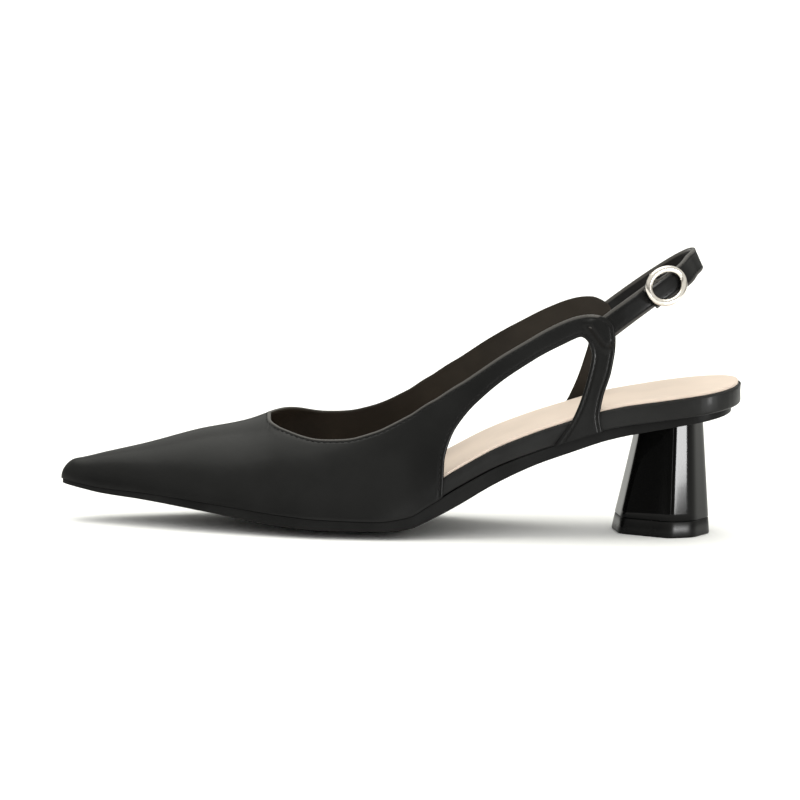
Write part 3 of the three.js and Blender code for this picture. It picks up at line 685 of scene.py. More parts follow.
# %% Free edges of the upper
FOLD_RADIUS = WALL / 2
LIP_IN = 0.8
LIP_HEIGHT = 0.12
LIP_SPREAD = 0.4
GROOVE_DEPTH = 0.20
GROOVE_SPREAD = 0.34
STITCH_IN = 1.6
TUCK = 0.2
TUCK_HEIGHT = 1.2
UNDERLAY = LAYER + 0.5
TUCK_BLEND = (0.2, 0.45)
BULGE_BLEND = (4.6, 8.0)


def nearest(points, line, batch=4000):
    """Distance from each point to the nearest point of a densely drawn line. The points are taken in
    batches, which keeps the table of distances small."""
    flat = points.reshape(-1, 3)
    found = []
    for start in range(0, len(flat), batch):
        apart = flat[start:start + batch, None] - line[None]
        found.append(np.sqrt((apart ** 2).sum(-1).min(1)))
    return np.concatenate(found).reshape(points.shape[:-1])


def densely(line, times=4):
    """The same line with points added evenly between its own."""
    count = (len(line) - 1) * times + 1
    return sample(np.linspace(0, len(line) - 1, count), np.arange(len(line)), line)


topline = {s: skins[s][0][row_number >= THROAT_ROW, -1] for s in SIDES}
cut_edge = {s: skins[s][0][row_number >= CUT_ROW, 0] for s in SIDES}
# The upper's paler lip is a painted highlight: it runs along the topline from the throat to the collar, and
# the distance from this line sets it.
bright_rows = np.sum((row_number >= THROAT_ROW) & (row_number < COLLAR_ROW + 1))
bright_edge = np.concatenate([densely(topline[s][:bright_rows]) for s in SIDES])
free_edges = np.concatenate([densely(line) for s in SIDES for line in (topline[s], cut_edge[s])])


def fold_drop(distance):
    """How far the wall's two faces close in on its middle near a free edge: a half circle."""
    near = np.clip(1 - distance / FOLD_RADIUS, 0, 1)
    return FOLD_RADIUS * (1 - np.sqrt(1 - near ** 2))


def lip_and_groove(distance):
    """A raised lip beside the edge and a groove under the stitches."""
    lip = LIP_HEIGHT * bell(distance, LIP_IN, LIP_SPREAD)
    return lip - GROOVE_DEPTH * bell(distance, STITCH_IN, GROOVE_SPREAD)


def soft_form(point):
    """Low swells of leather that was pulled over a last by hand: sums of slow sines, 0.1 mm high."""
    x, y, z = np.moveaxis(point, -1, 0)
    return 0.05 * np.sin(x / 9.0 + y / 14.0) * np.sin(z / 8.0 + x / 23.0) + 0.04 * np.sin(x / 17.0 - z / 11.0)


def bulge(point):
    """How far the outer face stands out where the end of a strap is sewn under it."""
    from_junction = point - JUNCTION
    along, up = from_junction @ ALONG, np.abs(from_junction @ UP)
    behind = smooth(-OVERLAP - 4.0, -OVERLAP - 0.5, along)
    return UNDERLAY * behind * (1 - smooth(*BULGE_BLEND, up))


def upper_faces(side):
    """Outer face, inner face and distance from the topline of one side of the upper. The vamp's foot
    is tucked in a little, where the leather turns under to the sole."""
    point, normal = skins[side]
    distance = nearest(point, free_edges)
    drop = fold_drop(distance)
    swell = soft_form(point) * smooth(0, 3, np.abs(point[..., 1])) * smooth(0, 4, distance)
    share = share_at(point[..., 0])
    above = (point[..., 2] - feather(share)) / TUCK_HEIGHT
    vamp = (row_number < CUT_ROW)[:, None]
    tuck = TUCK * smooth(*TUCK_BLEND, share) * np.clip(1 - above, 0, 1) ** 2 * vamp
    outward = lip_and_groove(distance) + swell + bulge(point) - tuck - drop
    outer = point + normal * outward[..., None]
    inner = point - normal * (WALL - drop)[..., None]
    return outer, inner, nearest(point, bright_edge)


def upper_mesh():
    """Outer and inner sheets of both sides, with the strips that close their rims."""
    parts, numbers = [], []
    for side in SIDES:
        outer, inner, distance = upper_faces(side)
        sheets = [(outer, distance, 0), (inner, distance, 1)]
        for rim in ((slice(None), 0), -1):
            sheets.append((np.stack([outer[rim], inner[rim]]), np.stack([distance[rim]] * 2), 1))
        for sheet, number, layer in sheets:
            parts.append((sheet, grid_faces(*sheet.shape[:2]), layer))
            numbers.append(number.reshape(-1))
    return join(*parts), np.concatenate(numbers)


# %% Make the upper
shape, distance = upper_mesh()
faces_of_leather = [upper_leather, lining_leather]
make_piece("upper_leather", shape, faces_of_leather, "upper_leather", "upper", {"edge": distance})

# %% [markdown]
# ## Stitches
# Real stitches are short ropes that dip into their holes. Each is a small rounded spindle laid along
# the groove. One spindle is made once, and arrays of places and directions lay all its copies at the
# same time.

# %% A row of stitches
STITCH_PITCH = 2.3
STITCH_LENGTH = 1.75
THREAD_WIDTH = 0.42
THREAD_RISE = 0.22
SPINDLE_RINGS = 7
SPINDLE_SIDES = 6
SPINDLE_TIP = 0.03
SPINDLE_DIP = 0.7
LOOK_AHEAD = 0.3


def resample(line, normal, pitch):
    """Points, directions and normals at even steps along a line."""
    run = run_along(line)
    count = max(int(run[-1] / pitch), 1)
    at = (np.arange(count) + 0.5) * run[-1] / count
    way = sample(at + LOOK_AHEAD, run, line) - sample(at - LOOK_AHEAD, run, line)
    return sample(at, run, line), unit(way), unit(sample(at, run, normal))


def spindles(place, way, facing, length, thickness):
    """Spindle: its radius follows the root of a sine along it, and its ends dip into the leather."""
    along = np.linspace(0, 1, SPINDLE_RINGS)
    around = np.linspace(0, 2 * math.pi, SPINDLE_SIDES, endpoint=False)
    radius = thickness / 2 * np.sin(math.pi * np.clip(along, SPINDLE_TIP, 1 - SPINDLE_TIP)) ** 0.45
    dip = -thickness * SPINDLE_DIP * (2 * along - 1) ** 4
    side = np.cross(way, facing)
    own = np.stack(np.broadcast_arrays(
        ((along - 0.5) * length)[:, None],
        radius[:, None] * np.cos(around),
        dip[:, None] + radius[:, None] * np.sin(around),
    ), -1)
    axes = np.stack([way, side, facing], 1)
    points = place[:, None, None] + np.einsum("rcj,njk->nrck", own, axes)
    one = grid_faces(len(along), len(around), close_columns=True)
    size = len(along) * len(around)
    last = size - len(around)
    ends = [(3, 2, 1, 0), (last, last + 1, last + 2, last + 3)]
    ends += [(0, 5, 4, 3), (last, last + 3, last + 4, last + 5)]
    one = np.concatenate([one, ends])
    faces = (one[None] + (np.arange(len(place)) * size)[:, None, None]).reshape(-1, 4)
    return points.reshape(-1, 3), faces, np.zeros(len(faces), int)


def edge_stitches(line, normal, inward):
    """Stitches along an edge line, set in from it over the leather."""
    tangent = unit(np.gradient(line, axis=0))
    aside = unit(np.cross(tangent, normal)) * inward
    bed = line + aside * STITCH_IN
    bed = bed + normal * (bulge(bed)[:, None] - GROOVE_DEPTH + THREAD_WIDTH * THREAD_RISE)
    return spindles(*resample(bed, normal, STITCH_PITCH), STITCH_LENGTH, THREAD_WIDTH)


# %% Sew the upper's edges
def edge_normals(side, column, first):
    """The skin's normals down one of its edge columns, from a row on."""
    return skins[side][1][row_number >= first, column]


BETWEEN_ENDS = slice(4, -4)
whole_topline = np.concatenate([topline["outer"][::-1], topline["inner"][1:]])
whole_normal = np.concatenate([
    edge_normals("outer", -1, THROAT_ROW)[::-1],
    edge_normals("inner", -1, THROAT_ROW)[1:],
])
rows_of_stitches = [edge_stitches(whole_topline[BETWEEN_ENDS], whole_normal[BETWEEN_ENDS], -1)]
for side, sign in SIDES.items():
    normals = edge_normals(side, 0, CUT_ROW)
    rows_of_stitches.append(edge_stitches(cut_edge[side][BETWEEN_ENDS], normals[BETWEEN_ENDS], sign))
make_piece("upper_stitches", join(*rows_of_stitches), [thread], "upper_leather", weld=False)

# %% [markdown]
# ## Board, sock and outsole
# The bottom is built in layers: a stiff board wrapped in leather, a cream sock glued on it, and a thin
# black sole under it. Each is a slab that follows the last's edge line, drawn in by its own amount,
# between a floor and a roof. A small radius runs round each rim, because glued leather never has
# a knife edge.

# %% Slabs between a floor and a roof
SLAB_SHARES = np.unique(np.concatenate([
    (1 - np.cos(np.linspace(0, math.pi, 61))) / 2,
    np.linspace(0, 1, 121),
    0.002 * np.arange(8), 1 - 0.002 * np.arange(8),
]))
CENTRE_STEPS = 12
CORNER_STEPS = 5


def edge_points(side, share, inset):
    """The last's edge line drawn in square to itself. At both ends it closes on the middle."""
    step = 1e-4
    ahead, behind = np.minimum(share + step, 1), np.maximum(share - step, 0)
    run = (ahead - behind) * LENGTH
    climb = half_width(side, ahead) - half_width(side, behind)
    length = np.hypot(run, climb)
    out = np.maximum(half_width(side, share) - inset * run / length, 0)
    x = x_at(share) + inset * climb / length
    x = np.where(share <= 0, TOE_X + inset, np.where(share >= 1, TOE_X + LENGTH - inset, x))
    return x, SIDES[side] * np.where((share <= 0) | (share >= 1), 0, out)


def slab(inset, floor, roof, radius, pull=None):
    """A closed ring of points for each place along the shoe: flat below, rounded rims, flat above.
    pull draws the upper rim in further, to stay inside a leaning wall."""
    corner = np.linspace(0, math.pi / 2, CORNER_STEPS)
    share = SLAB_SHARES
    rings = []
    for above in (False, True):
        half = {}
        for side in SIDES:
            lean = pull(side, share) if above and pull else 0 * share
            for bend in corner:
                extra = radius * (1 - math.cos(bend))
                half[side, bend] = edge_points(side, share, inset(share) + lean + extra)
        drop = radius * (1 - np.sin(corner))
        flat = np.linspace(0, 1, CENTRE_STEPS + 1)[1:-1]
        first, last = half["outer", corner[-1]], half["inner", corner[-1]]
        line = [(*half["outer", b], d) for b, d in zip(corner, drop)]
        line += [(lerp(first[0], last[0], f), lerp(first[1], last[1], f), 0) for f in flat]
        line += [(*half["inner", b], d) for b, d in zip(corner[::-1], drop[::-1])]
        level = roof if above else floor
        sign = -1 if above else 1
        ring = [np.stack([x, y, level(share_at(x), y) + sign * d], -1) for x, y, d in line]
        rings.append(np.stack(ring, 1))
    below, over = rings
    return np.concatenate([below, over[:, ::-1]], 1)


def slab_mesh(ring):
    """Faces round the ring, and a closing strip at each end."""
    rows, columns = ring.shape[:2]
    faces = grid_faces(rows, columns, close_columns=True)
    half = columns // 2
    ends = []
    for row in (0, rows - 1):
        pair = np.stack([ring[row, :half], ring[row, half:][::-1]])
        ends.append((pair, grid_faces(2, half), 0))
    return join((ring, faces, 0), *ends)


# %% Layers of the bottom
BOARD_BLEND = (0.47, 0.56)
BOARD_OUT_BLEND = (0.81, 0.9)
OUTSOLE_BLEND = (0.56, 0.84)


def wall_lean(side, share, rise):
    """How far the upper leans in over the feather edge at a height above it."""
    angle = angle_for(share, rise)
    return half_width(side, share) * (1 - np.cos(angle)) - SIDES[side] * ridge_shift(share) * np.sin(angle)


def board_thickness(share):
    return lerp(BOARD_FRONT, BOARD_THICKNESS, smooth(*BOARD_BLEND, share))


def board_inset(share):
    return (WALL + GAP) * (1 - smooth(*BOARD_OUT_BLEND, share))


def board_floor(share, y):
    return feather(share) - cup(share, y)


def board_roof(share, y):
    return board_floor(share, y) + board_thickness(share)


def sock_inset(share):
    return board_inset(share) + SOCK_MARGIN + wall_lean("outer", share, board_thickness(share))


def outsole_inset(share):
    return lerp(OUTSOLE_INSET, SEAT_INSET, smooth(*OUTSOLE_BLEND, share))


SOLE_ROUND = 0.25
BOARD_ROUND = 1.0
SOCK_ROUND = 0.45
sole_ring = slab(
    outsole_inset, lambda share, y: np.maximum(sole_edge(share) - cup(share, y), 0), board_floor, SOLE_ROUND,
)
board_ring = slab(
    board_inset, board_floor, board_roof, BOARD_ROUND,
    lambda side, share: wall_lean(side, share, board_thickness(share)),
)
sock_ring = slab(
    sock_inset, board_roof, lambda share, y: board_roof(share, y) + GAP + SOCK_THICKNESS, SOCK_ROUND,
    lambda side, share: wall_lean(side, share, SOCK_THICKNESS),
)

# %% Sole rubber
def sole_material():
    """Black sole rubber: matt, with fine scratches along the shoe."""
    graph = Graph("sole_rubber", specular_ior_level=0.08)
    place = graph.place()
    cloud = graph.noise(place, 60, 3)
    brushed = graph.noise(graph.stretched(place, (0.15, 1.0, 1.0)), 1800, 2)
    tone = graph.mix(cloud.ramp(*CLOUD_RANGE), grey(0.005), grey(0.009))
    relief = graph.bump(brushed, 0.3, 0.00004)
    return graph.feed(base_color=tone, roughness=0.42 + cloud * 0.15, normal=relief)


sole_rubber = sole_material()
for name, node, slot, ring, material in (
    ("outsole_layer", "outsole", "sole_rubber", sole_ring, sole_rubber),
    ("board_wrapped", "insole_board", "board_wrap", board_ring, board_wrap),
    ("insole_sock_pad", "insole_sock", "sock_leather", sock_ring, sock_leather),
):
    make_piece(name, slab_mesh(ring), [material], slot, node)

# %% [markdown]
# ## The heel
# The block is moulded plastic under a deep black lacquer, with eight flat sides. Its corners are
# rounded over two or three millimetres, and these soft corners draw the long bright lines seen in
# a studio. A Bevel modifier could round them, but here the outline itself is softened, so that the
# curve is known and the same at every height.

# %% Outline of the heel
HEEL_TIP_LENGTH = 36
HEEL_TIP_WIDTH = 37.5
HEEL_TIP_HEIGHT = 6.2
HEEL_TOP_LENGTH = 24.5
HEEL_TOP_WIDTH = 30
HEEL_LEAN = 2.0
HEEL_TURN = math.radians(7)
HEEL_CORNERS = np.array([
    (-0.50, -0.50, 0.40),
    (-0.02, -0.09, 1.00),
    (0.26, 0.25, 0.86),
    (0.50, 0.50, 0.32),
])
OUTLINE_POINTS = 160
FINER = 12
SOFTNESS = 1.5
HEEL_SHARP = 40


def heel_outline(climb):
    """The eight-sided outline at a share of the way up, drawn evenly and then softened: each point
    becomes the average of its neighbours, weighted by a bell curve SOFTNESS millimetres wide. The
    result is scaled back to the full size. It is worked out FINER times finer than it is kept, so that
    the flat sides come out straight from ring to ring."""
    foot, top, across = HEEL_CORNERS.T
    forth = lerp(foot * HEEL_TIP_LENGTH, top * HEEL_TOP_LENGTH, climb)
    aside = across * lerp(HEEL_TIP_WIDTH, HEEL_TOP_WIDTH, climb) / 2
    forth = np.concatenate([forth, forth[::-1], forth[:1]])
    aside = np.concatenate([-aside, aside[::-1], -aside[:1]])
    run = run_along(np.stack([forth, aside], -1))
    even = np.linspace(0, run[-1], OUTLINE_POINTS * FINER, endpoint=False)
    flat = np.stack([np.interp(even, run, forth), np.interp(even, run, aside)], -1)
    apart = np.minimum(even, run[-1] - even)
    weight = np.exp(-0.5 * (apart / SOFTNESS) ** 2)
    spectrum = np.fft.fft(weight / weight.sum())[:, None]
    soft = np.fft.ifft(np.fft.fft(flat, axis=0) * spectrum, axis=0).real
    flat = (soft * (np.ptp(flat, axis=0) / np.ptp(soft, axis=0)))[::FINER]
    return np.stack([
        lerp(0, HEEL_LEAN, climb) + flat[:, 0] * math.cos(HEEL_TURN) - flat[:, 1] * math.sin(HEEL_TURN),
        flat[:, 0] * math.sin(HEEL_TURN) + flat[:, 1] * math.cos(HEEL_TURN),
    ], -1)


def shrink(outline, amount):
    """The outline drawn in toward its own middle by an amount in millimetres."""
    middle = outline.mean(0)
    spoke = outline - middle
    return middle + spoke * (1 - amount / np.linalg.norm(spoke, axis=1, keepdims=True))


def seat_under(x):
    return sole_edge(share_at(x)) - GAP


def column(levels):
    """Rings from the bottom up, with closed ends. Each level has its share of the climb, how far it
    is drawn in, a height, and the share of the way from that height up to the slope of the seat."""
    rings = []
    for climb, inward, height, share in levels:
        flat = shrink(heel_outline(climb), inward)
        rings.append(np.column_stack([flat, lerp(height, seat_under(flat[:, 0]), share)]))
    rings = np.stack(rings)
    side = grid_faces(len(rings), OUTLINE_POINTS, close_columns=True)
    caps = [end_cap(ring, ring.mean(0), 0.5) for ring in (rings[0], rings[-1])]
    return join((rings, side, 0), *caps)


TIP_CLIMB = HEEL_TIP_HEIGHT / HEEL_RISE
SEAM_START = 0.5
HEEL_RINGS = 15
TIP_FOOT = ((0.7, 0.0), (0.3, 0.06), (0.08, 0.25), (0, 0.6))
TIP_HEAD = ((0, -0.3), (0.12, -0.1), (0.4, 0.05))
BLOCK_FOOT = ((0.4, 0.1), (0.1, 0.25), (0, SEAM_START))
tip_levels = [(0, inward, height, 0) for inward, height in TIP_FOOT]
tip_levels += [(TIP_CLIMB, inward, HEEL_TIP_HEIGHT + height, 0) for inward, height in TIP_HEAD]
block_levels = [(TIP_CLIMB, inward, HEEL_TIP_HEIGHT + height, 0) for inward, height in BLOCK_FOOT]
for climb in np.linspace(TIP_CLIMB, 1, HEEL_RINGS + 1)[1:]:
    share = (climb - TIP_CLIMB) / (1 - TIP_CLIMB)
    block_levels.append((climb, 0, HEEL_TIP_HEIGHT + SEAM_START, share))

# %% Lacquer and tip
def lacquer_material():
    """Deep black and almost flat, with a trace of orange peel."""
    graph = Graph("heel_lacquer", specular_ior_level=0.12)
    place = graph.place()
    peel = graph.noise(place, 260, 2)
    cloud = graph.noise(place, 30, 2)
    tone = graph.mix(cloud, grey(0.0015), grey(0.0025))
    return graph.feed(base_color=tone, roughness=0.07 + cloud * 0.02, normal=graph.bump(peel, 0.03, 0.00001))


def tip_material():
    """Hard black rubber with fine turning marks and a satin shine."""
    graph = Graph("tip_rubber", specular_ior_level=0.16)
    place = graph.place()
    cloud = graph.noise(place, 90, 3)
    lines = graph.noise(graph.stretched(place, (1.0, 1.0, 14.0)), 500, 2)
    tone = graph.mix(cloud.ramp(*CLOUD_RANGE), grey(0.002), grey(0.004))
    return graph.feed(base_color=tone, roughness=0.22 + cloud * 0.14, normal=graph.bump(lines, 0.2, 0.00006))


heel_lacquer = lacquer_material()
tip_rubber = tip_material()
for name, node, slot, levels, material in (
    ("heel_tip_piece", "heel_tip", "tip_rubber", tip_levels, tip_rubber),
    ("heel_block_lacquered", "heel_block", "heel_lacquer", block_levels, heel_lacquer),
):
    make_piece(name, column(levels), [material], slot, node, sharp=HEEL_SHARP)

# %% [markdown]
# ## The sling
# A strap runs from the inner side round the back of the heel and buckles on the outer side to a short
# stay. Both stand in one plane that climbs to the back. The strap is two leathers glued and edge-dyed,
# so its section is a flat band with round edges, and a stitch row runs near each edge.

# %% The path of the sling
def upper_reach(side, x, z):
    """Distance of the upper's outer face from the middle of the shoe."""
    share = share_at(x)
    angle = angle_for(share, z - feather(share))
    return half_width(side, share) * np.cos(angle) + SIDES[side] * ridge_shift(share) * np.sin(angle)


LOOP_HALF = {s: float(upper_reach(s, JUNCTION[0], JUNCTION[2])) + GAP + STRAP_THICKNESS / 2 for s in SIDES}
print("loop half-widths in mm:", {k: round(v, 1) for k, v in LOOP_HALF.items()})


def turn_for(along):
    """Angle round the loop for a distance along the sling's plane from the junction."""
    along = np.asarray(along, float)
    return np.where(along >= 0, np.arcsin(np.clip(along / SLING_REACH, 0, 1)), along / SLING_REACH)


def loop_point(side, turn, up):
    """Middle of the strap: half an ellipse round the back, and laid on the upper before it. It hangs a
    little below its plane at the back and on the inner side, and stands steeper at the back."""
    turn, up = np.broadcast_arrays(np.asarray(turn, float), np.asarray(up, float))
    bent = np.maximum(turn, 0)
    along = np.where(turn >= 0, SLING_REACH * np.sin(turn), SLING_REACH * turn)
    at_back = np.sin(bent) ** 2
    sag = SLING_SAG * (1 if side == "inner" else at_back)
    stand = BACK_STAND * at_back ** 2
    point = (JUNCTION + (along + up * STRAP_WIDTH * np.sin(stand))[..., None] * ALONG
             + (up * STRAP_WIDTH * np.cos(stand) - sag)[..., None] * UP)
    on_loop = LOOP_HALF[side] * np.cos(bent)
    on_upper = upper_reach(side, point[..., 0], point[..., 2]) + GAP + STRAP_THICKNESS / 2
    point[..., 1] = SIDES[side] * lerp(on_upper, on_loop, smooth(-0.02, 0.2, turn))
    return point


def loop_normal(side, turn, up):
    """Away from the foot, square to the strap."""
    step = 1e-3
    turn, up = np.broadcast_arrays(np.asarray(turn, float), np.asarray(up, float))
    ahead = loop_point(side, np.minimum(turn + step, math.pi / 2), up) - loop_point(side, turn - step, up)
    across = loop_point(side, turn, up + step) - loop_point(side, turn, up - step)
    normal = unit(np.cross(ahead, across))
    normal = normal * np.where(normal[..., 1:2] * SIDES[side] < 0, -1, 1)
    return np.where((turn > math.pi / 2 - 1e-6)[..., None], ALONG, normal)


def strap_point(side, turn, up, out):
    """A point of the strap, out from its middle by a number of millimetres."""
    return loop_point(side, turn, up) + loop_normal(side, turn, up) * np.asarray(out, float)[..., None]


# %% A band round a path
BAND_UP = np.array([-0.5, -0.497, -0.488, -0.470, -0.445, -0.41, -0.37, -0.335, -0.30, -0.25, -0.12, 0])
BAND_UP = np.concatenate([BAND_UP, -BAND_UP[-2::-1]])
STRAP_STITCH_IN = 1.5
STRAP_LIP = 0.08
STRAP_LIP_SPREAD = 0.35
STRAP_GROOVE = 0.16
STRAP_GROOVE_SPREAD = 0.3
STRAP_RIM = 0.085


def band_half(up):
    """Half-thickness across the strap, as a share: round in the last tenth of a width."""
    rim = np.clip((0.5 - np.abs(up)) / STRAP_RIM, 0, 1)
    return np.sqrt(1 - (1 - rim) ** 2)


def band_relief(up):
    """Lip and stitch groove near both edges of a strap, in millimetres."""
    distance = (0.5 - np.abs(up)) * STRAP_WIDTH
    lip = STRAP_LIP * bell(distance, STRAP_STITCH_IN - LIP_IN, STRAP_LIP_SPREAD)
    return lip - STRAP_GROOVE * bell(distance, STRAP_STITCH_IN, STRAP_GROOVE_SPREAD)


def band(side, turns, out, end_cut=0.0, slip=0.0):
    """Outer and inner faces of a strap along its path: rows are places, columns run across. end_cut
    slants a row, and slip moves it across, as a share of the width."""
    rows = np.zeros_like(turns)
    up = BAND_UP[None, :] + (rows + slip)[:, None]
    turn = turns[:, None] + (rows + end_cut)[:, None] * BAND_UP[None, :]
    half = STRAP_THICKNESS / 2 * band_half(BAND_UP)[None, :]
    relief = band_relief(BAND_UP)[None, :]
    outer = strap_point(side, turn, up, out[:, None] + half + relief)
    inner = strap_point(side, turn, up, out[:, None] - half)
    return outer, inner


# %% Tubes along a path
def tube(path, reference, radius, sides=16, closed=False, flat=1.0):
    """A round section carried along a path. Its first spoke is the reference direction made square to
    the path, so the tube never twists. flat is how much wider it is the other way."""
    path = np.asarray(path, float)
    if closed:
        way = unit(np.roll(path, -1, 0) - np.roll(path, 1, 0))
    else:
        way = unit(np.gradient(path, axis=0))
    first = unit(reference - (reference * way).sum(-1, keepdims=True) * way)
    second = np.cross(way, first)
    around = np.linspace(0, 2 * math.pi, sides, endpoint=False)
    radius = np.broadcast_to(radius, len(path))[:, None, None]
    across, aside = np.cos(around)[None, :, None], flat * np.sin(around)[None, :, None]
    points = path[:, None] + radius * (first[:, None] * across + second[:, None] * aside)
    parts = [(points, grid_faces(len(path), sides, closed, True), 0)]
    if not closed:
        parts += [end_cap(points[end], path[end], 0.6) for end in (0, -1)]
    return join(*parts)


def rounded(radius, count, ease):
    """Radii along an open tube, drawn in over the first and last points like a dome."""
    at = np.minimum(np.arange(count), np.arange(count)[::-1]) / ease
    return radius * np.sqrt(np.maximum(1 - np.clip(1 - at, 0, 0.995) ** 2, 0.01))


def through_points(corners, count):
    """An even, smooth line through a few corners: each coordinate is a curve of the run so far."""
    corners = np.asarray(corners, float)
    run = run_along(corners)
    at = np.linspace(0, run[-1], count)
    return np.stack([through(run, corners[:, k])(at) for k in range(3)], -1)


# %% Make the sling
END_STEPS = 0.012 * np.array([0, 0.1, 0.3, 0.6])
INNER_PLACES = 110
OUTER_PLACES = 100
TAIL_SLIP = -0.09
overlap_turn = float(turn_for(-OVERLAP))
bar_turn = float(turn_for(RING_PLACE))
tail_turn = float(turn_for(RING_PLACE - TAIL_LENGTH))
ride_start = float(turn_for(RING_PLACE + RING_OUTER * RIDE_TOP))
ride_end = float(turn_for(RING_PLACE + RING_OUTER * RIDE_FOOT))


def tail_layer(turn):
    """The tail rides up one layer where it passes over the bar and the stay."""
    return LAYER * (1 - smooth(ride_start, ride_end, turn))


def even_turns(start, end, count):
    """Places along the sling, closer together near both ends."""
    s = np.linspace(0, 1, count)
    s = np.unique(np.concatenate([END_STEPS, s, 1 - END_STEPS]))
    return lerp(start, end, s)


def closing(outer, inner):
    """Faces of a band: outer sheet, inner sheet, and a strip over each end."""
    rows, columns = outer.shape[:2]
    return join(
        (outer, grid_faces(rows, columns), 0),
        (inner, grid_faces(rows, columns, flip=True), 0),
        (np.stack([outer[0], inner[0]]), grid_faces(2, columns), 0),
        (np.stack([outer[-1], inner[-1]]), grid_faces(2, columns), 0),
    )


# The strap material paints a paler highlight along the straps' edges from this distance.
def band_edge(points, outer):
    """Distance of a band's points from its edges. What is joined on after its two sheets has none."""
    row = (0.5 - np.abs(BAND_UP)) * STRAP_WIDTH
    distance = np.full(len(points), STRAP_WIDTH)
    distance[:2 * outer.shape[0] * len(row)] = np.tile(row, 2 * outer.shape[0])
    return distance


inner_turns = even_turns(overlap_turn, math.pi / 2, INNER_PLACES)
outer_turns = even_turns(math.pi / 2, tail_turn, OUTER_PLACES)
inner_outer, inner_inner = band("inner", inner_turns, 0 * inner_turns)
tail_slip = TAIL_SLIP * tail_layer(outer_turns) / LAYER
outer_outer, outer_inner = band("outer", outer_turns, tail_layer(outer_turns), slip=tail_slip)
sling_outer = np.concatenate([inner_outer, outer_outer[1:]])
sling_inner = np.concatenate([inner_inner, outer_inner[1:]])
shape = closing(sling_outer, sling_inner)
edge = band_edge(shape[0], sling_outer)
make_piece("sling_leather", shape, [strap_leather], "strap_leather", "sling_strap", {"edge": edge})

# %% [markdown]
# ## The stay and the buckle
# The stay is sewn to the top of the down strap and folds round the buckle's bar. The ring is thick
# wire, bent to a circle and soldered. The sling is drawn through it from behind, over the bar and
# back under the ring. Wires are tubes along a path.

# %% Make the stay
WIRE_FLAT = 1.12
STAY_PLACES = 70
CUT_FADE = 0.12
FOLD_STEPS = 24
FOLD_SIDES = 24
ring_radius = (RING_OUTER - 0.5 - WIRE * WIRE_FLAT) / 2
ring_out = LAYER + STRAP_THICKNESS / 2 + GAP + WIRE / 2
fold_radius = BAR_WIRE / 2 + GAP + STRAP_THICKNESS / 2
bar_out = STRAP_THICKNESS / 2 - fold_radius
stay_end = float(turn_for(RING_PLACE - BAR_WIRE / 2 - GAP))
stay_turns = even_turns(overlap_turn, stay_end, STAY_PLACES)
cut_fade = STAY_CUT * (1 - smooth(stay_turns[0], stay_turns[0] + CUT_FADE, stay_turns))
stay_outer, stay_inner = band("outer", stay_turns, 0 * stay_turns, cut_fade)
fold_up = np.linspace(-0.5, 0.5, FOLD_STEPS) * FOLD_WIDTH / STRAP_WIDTH
fold_line = strap_point("outer", bar_turn, fold_up, bar_out)
fold_radii = rounded(fold_radius, FOLD_STEPS, 1.5)
away_from_foot = loop_normal("outer", bar_turn, 0.0)
fold = tube(fold_line, np.broadcast_to(away_from_foot, fold_line.shape), fold_radii, FOLD_SIDES)
shape = join(closing(stay_outer, stay_inner), fold)
edge = band_edge(shape[0], stay_outer)
make_piece("stay_leather", shape, [strap_leather], "strap_leather", "buckle_stay", {"edge": edge})


# %% Stitches of the straps
STRAP_STITCH_LENGTH = 1.7
STRAP_THREAD_WIDTH = 0.4
STRAP_THREAD_SUNK = 0.07


def strap_stitches(side, turns, up, out):
    """Stitches along a strap at one height across it."""
    place = strap_point(side, turns, up, out + STRAP_THICKNESS / 2 - STRAP_THREAD_SUNK)
    facing = loop_normal(side, turns, up)
    return spindles(*resample(place, facing, STITCH_PITCH), STRAP_STITCH_LENGTH, STRAP_THREAD_WIDTH)


ROW_UP = 0.5 - STRAP_STITCH_IN / STRAP_WIDTH
sewn = []
for up_share in (-ROW_UP, ROW_UP):
    sewn.append(strap_stitches("inner", inner_turns[6:], up_share, 0 * inner_turns[6:]))
    sewn.append(strap_stitches("outer", outer_turns[:-8], up_share, tail_layer(outer_turns[:-8])))
    sewn.append(strap_stitches("outer", stay_turns[8:-2], up_share, 0 * stay_turns[8:-2]))
make_piece("strap_stitches", join(*sewn), [thread], "strap_leather", weld=False)


# %% Polished metal
def metal_material():
    """Pale plated metal: bright, with fine wear scratches and a softer, cloudy film in places."""
    graph = Graph("buckle_metal", metallic=1.0)
    place = graph.place()
    scratch = graph.noise(graph.stretched(place, (1.0, 6.0, 1.0)), 1200, 2)
    film = graph.noise(place, 160, 2)
    tone = graph.mix(film.ramp(*CLOUD_RANGE), (0.64, 0.60, 0.55, 1), (0.74, 0.70, 0.65, 1))
    relief = graph.bump(scratch, 0.15, 0.00003)
    return graph.feed(base_color=tone, roughness=0.14 + film * 0.12, normal=relief)


buckle_metal = metal_material()

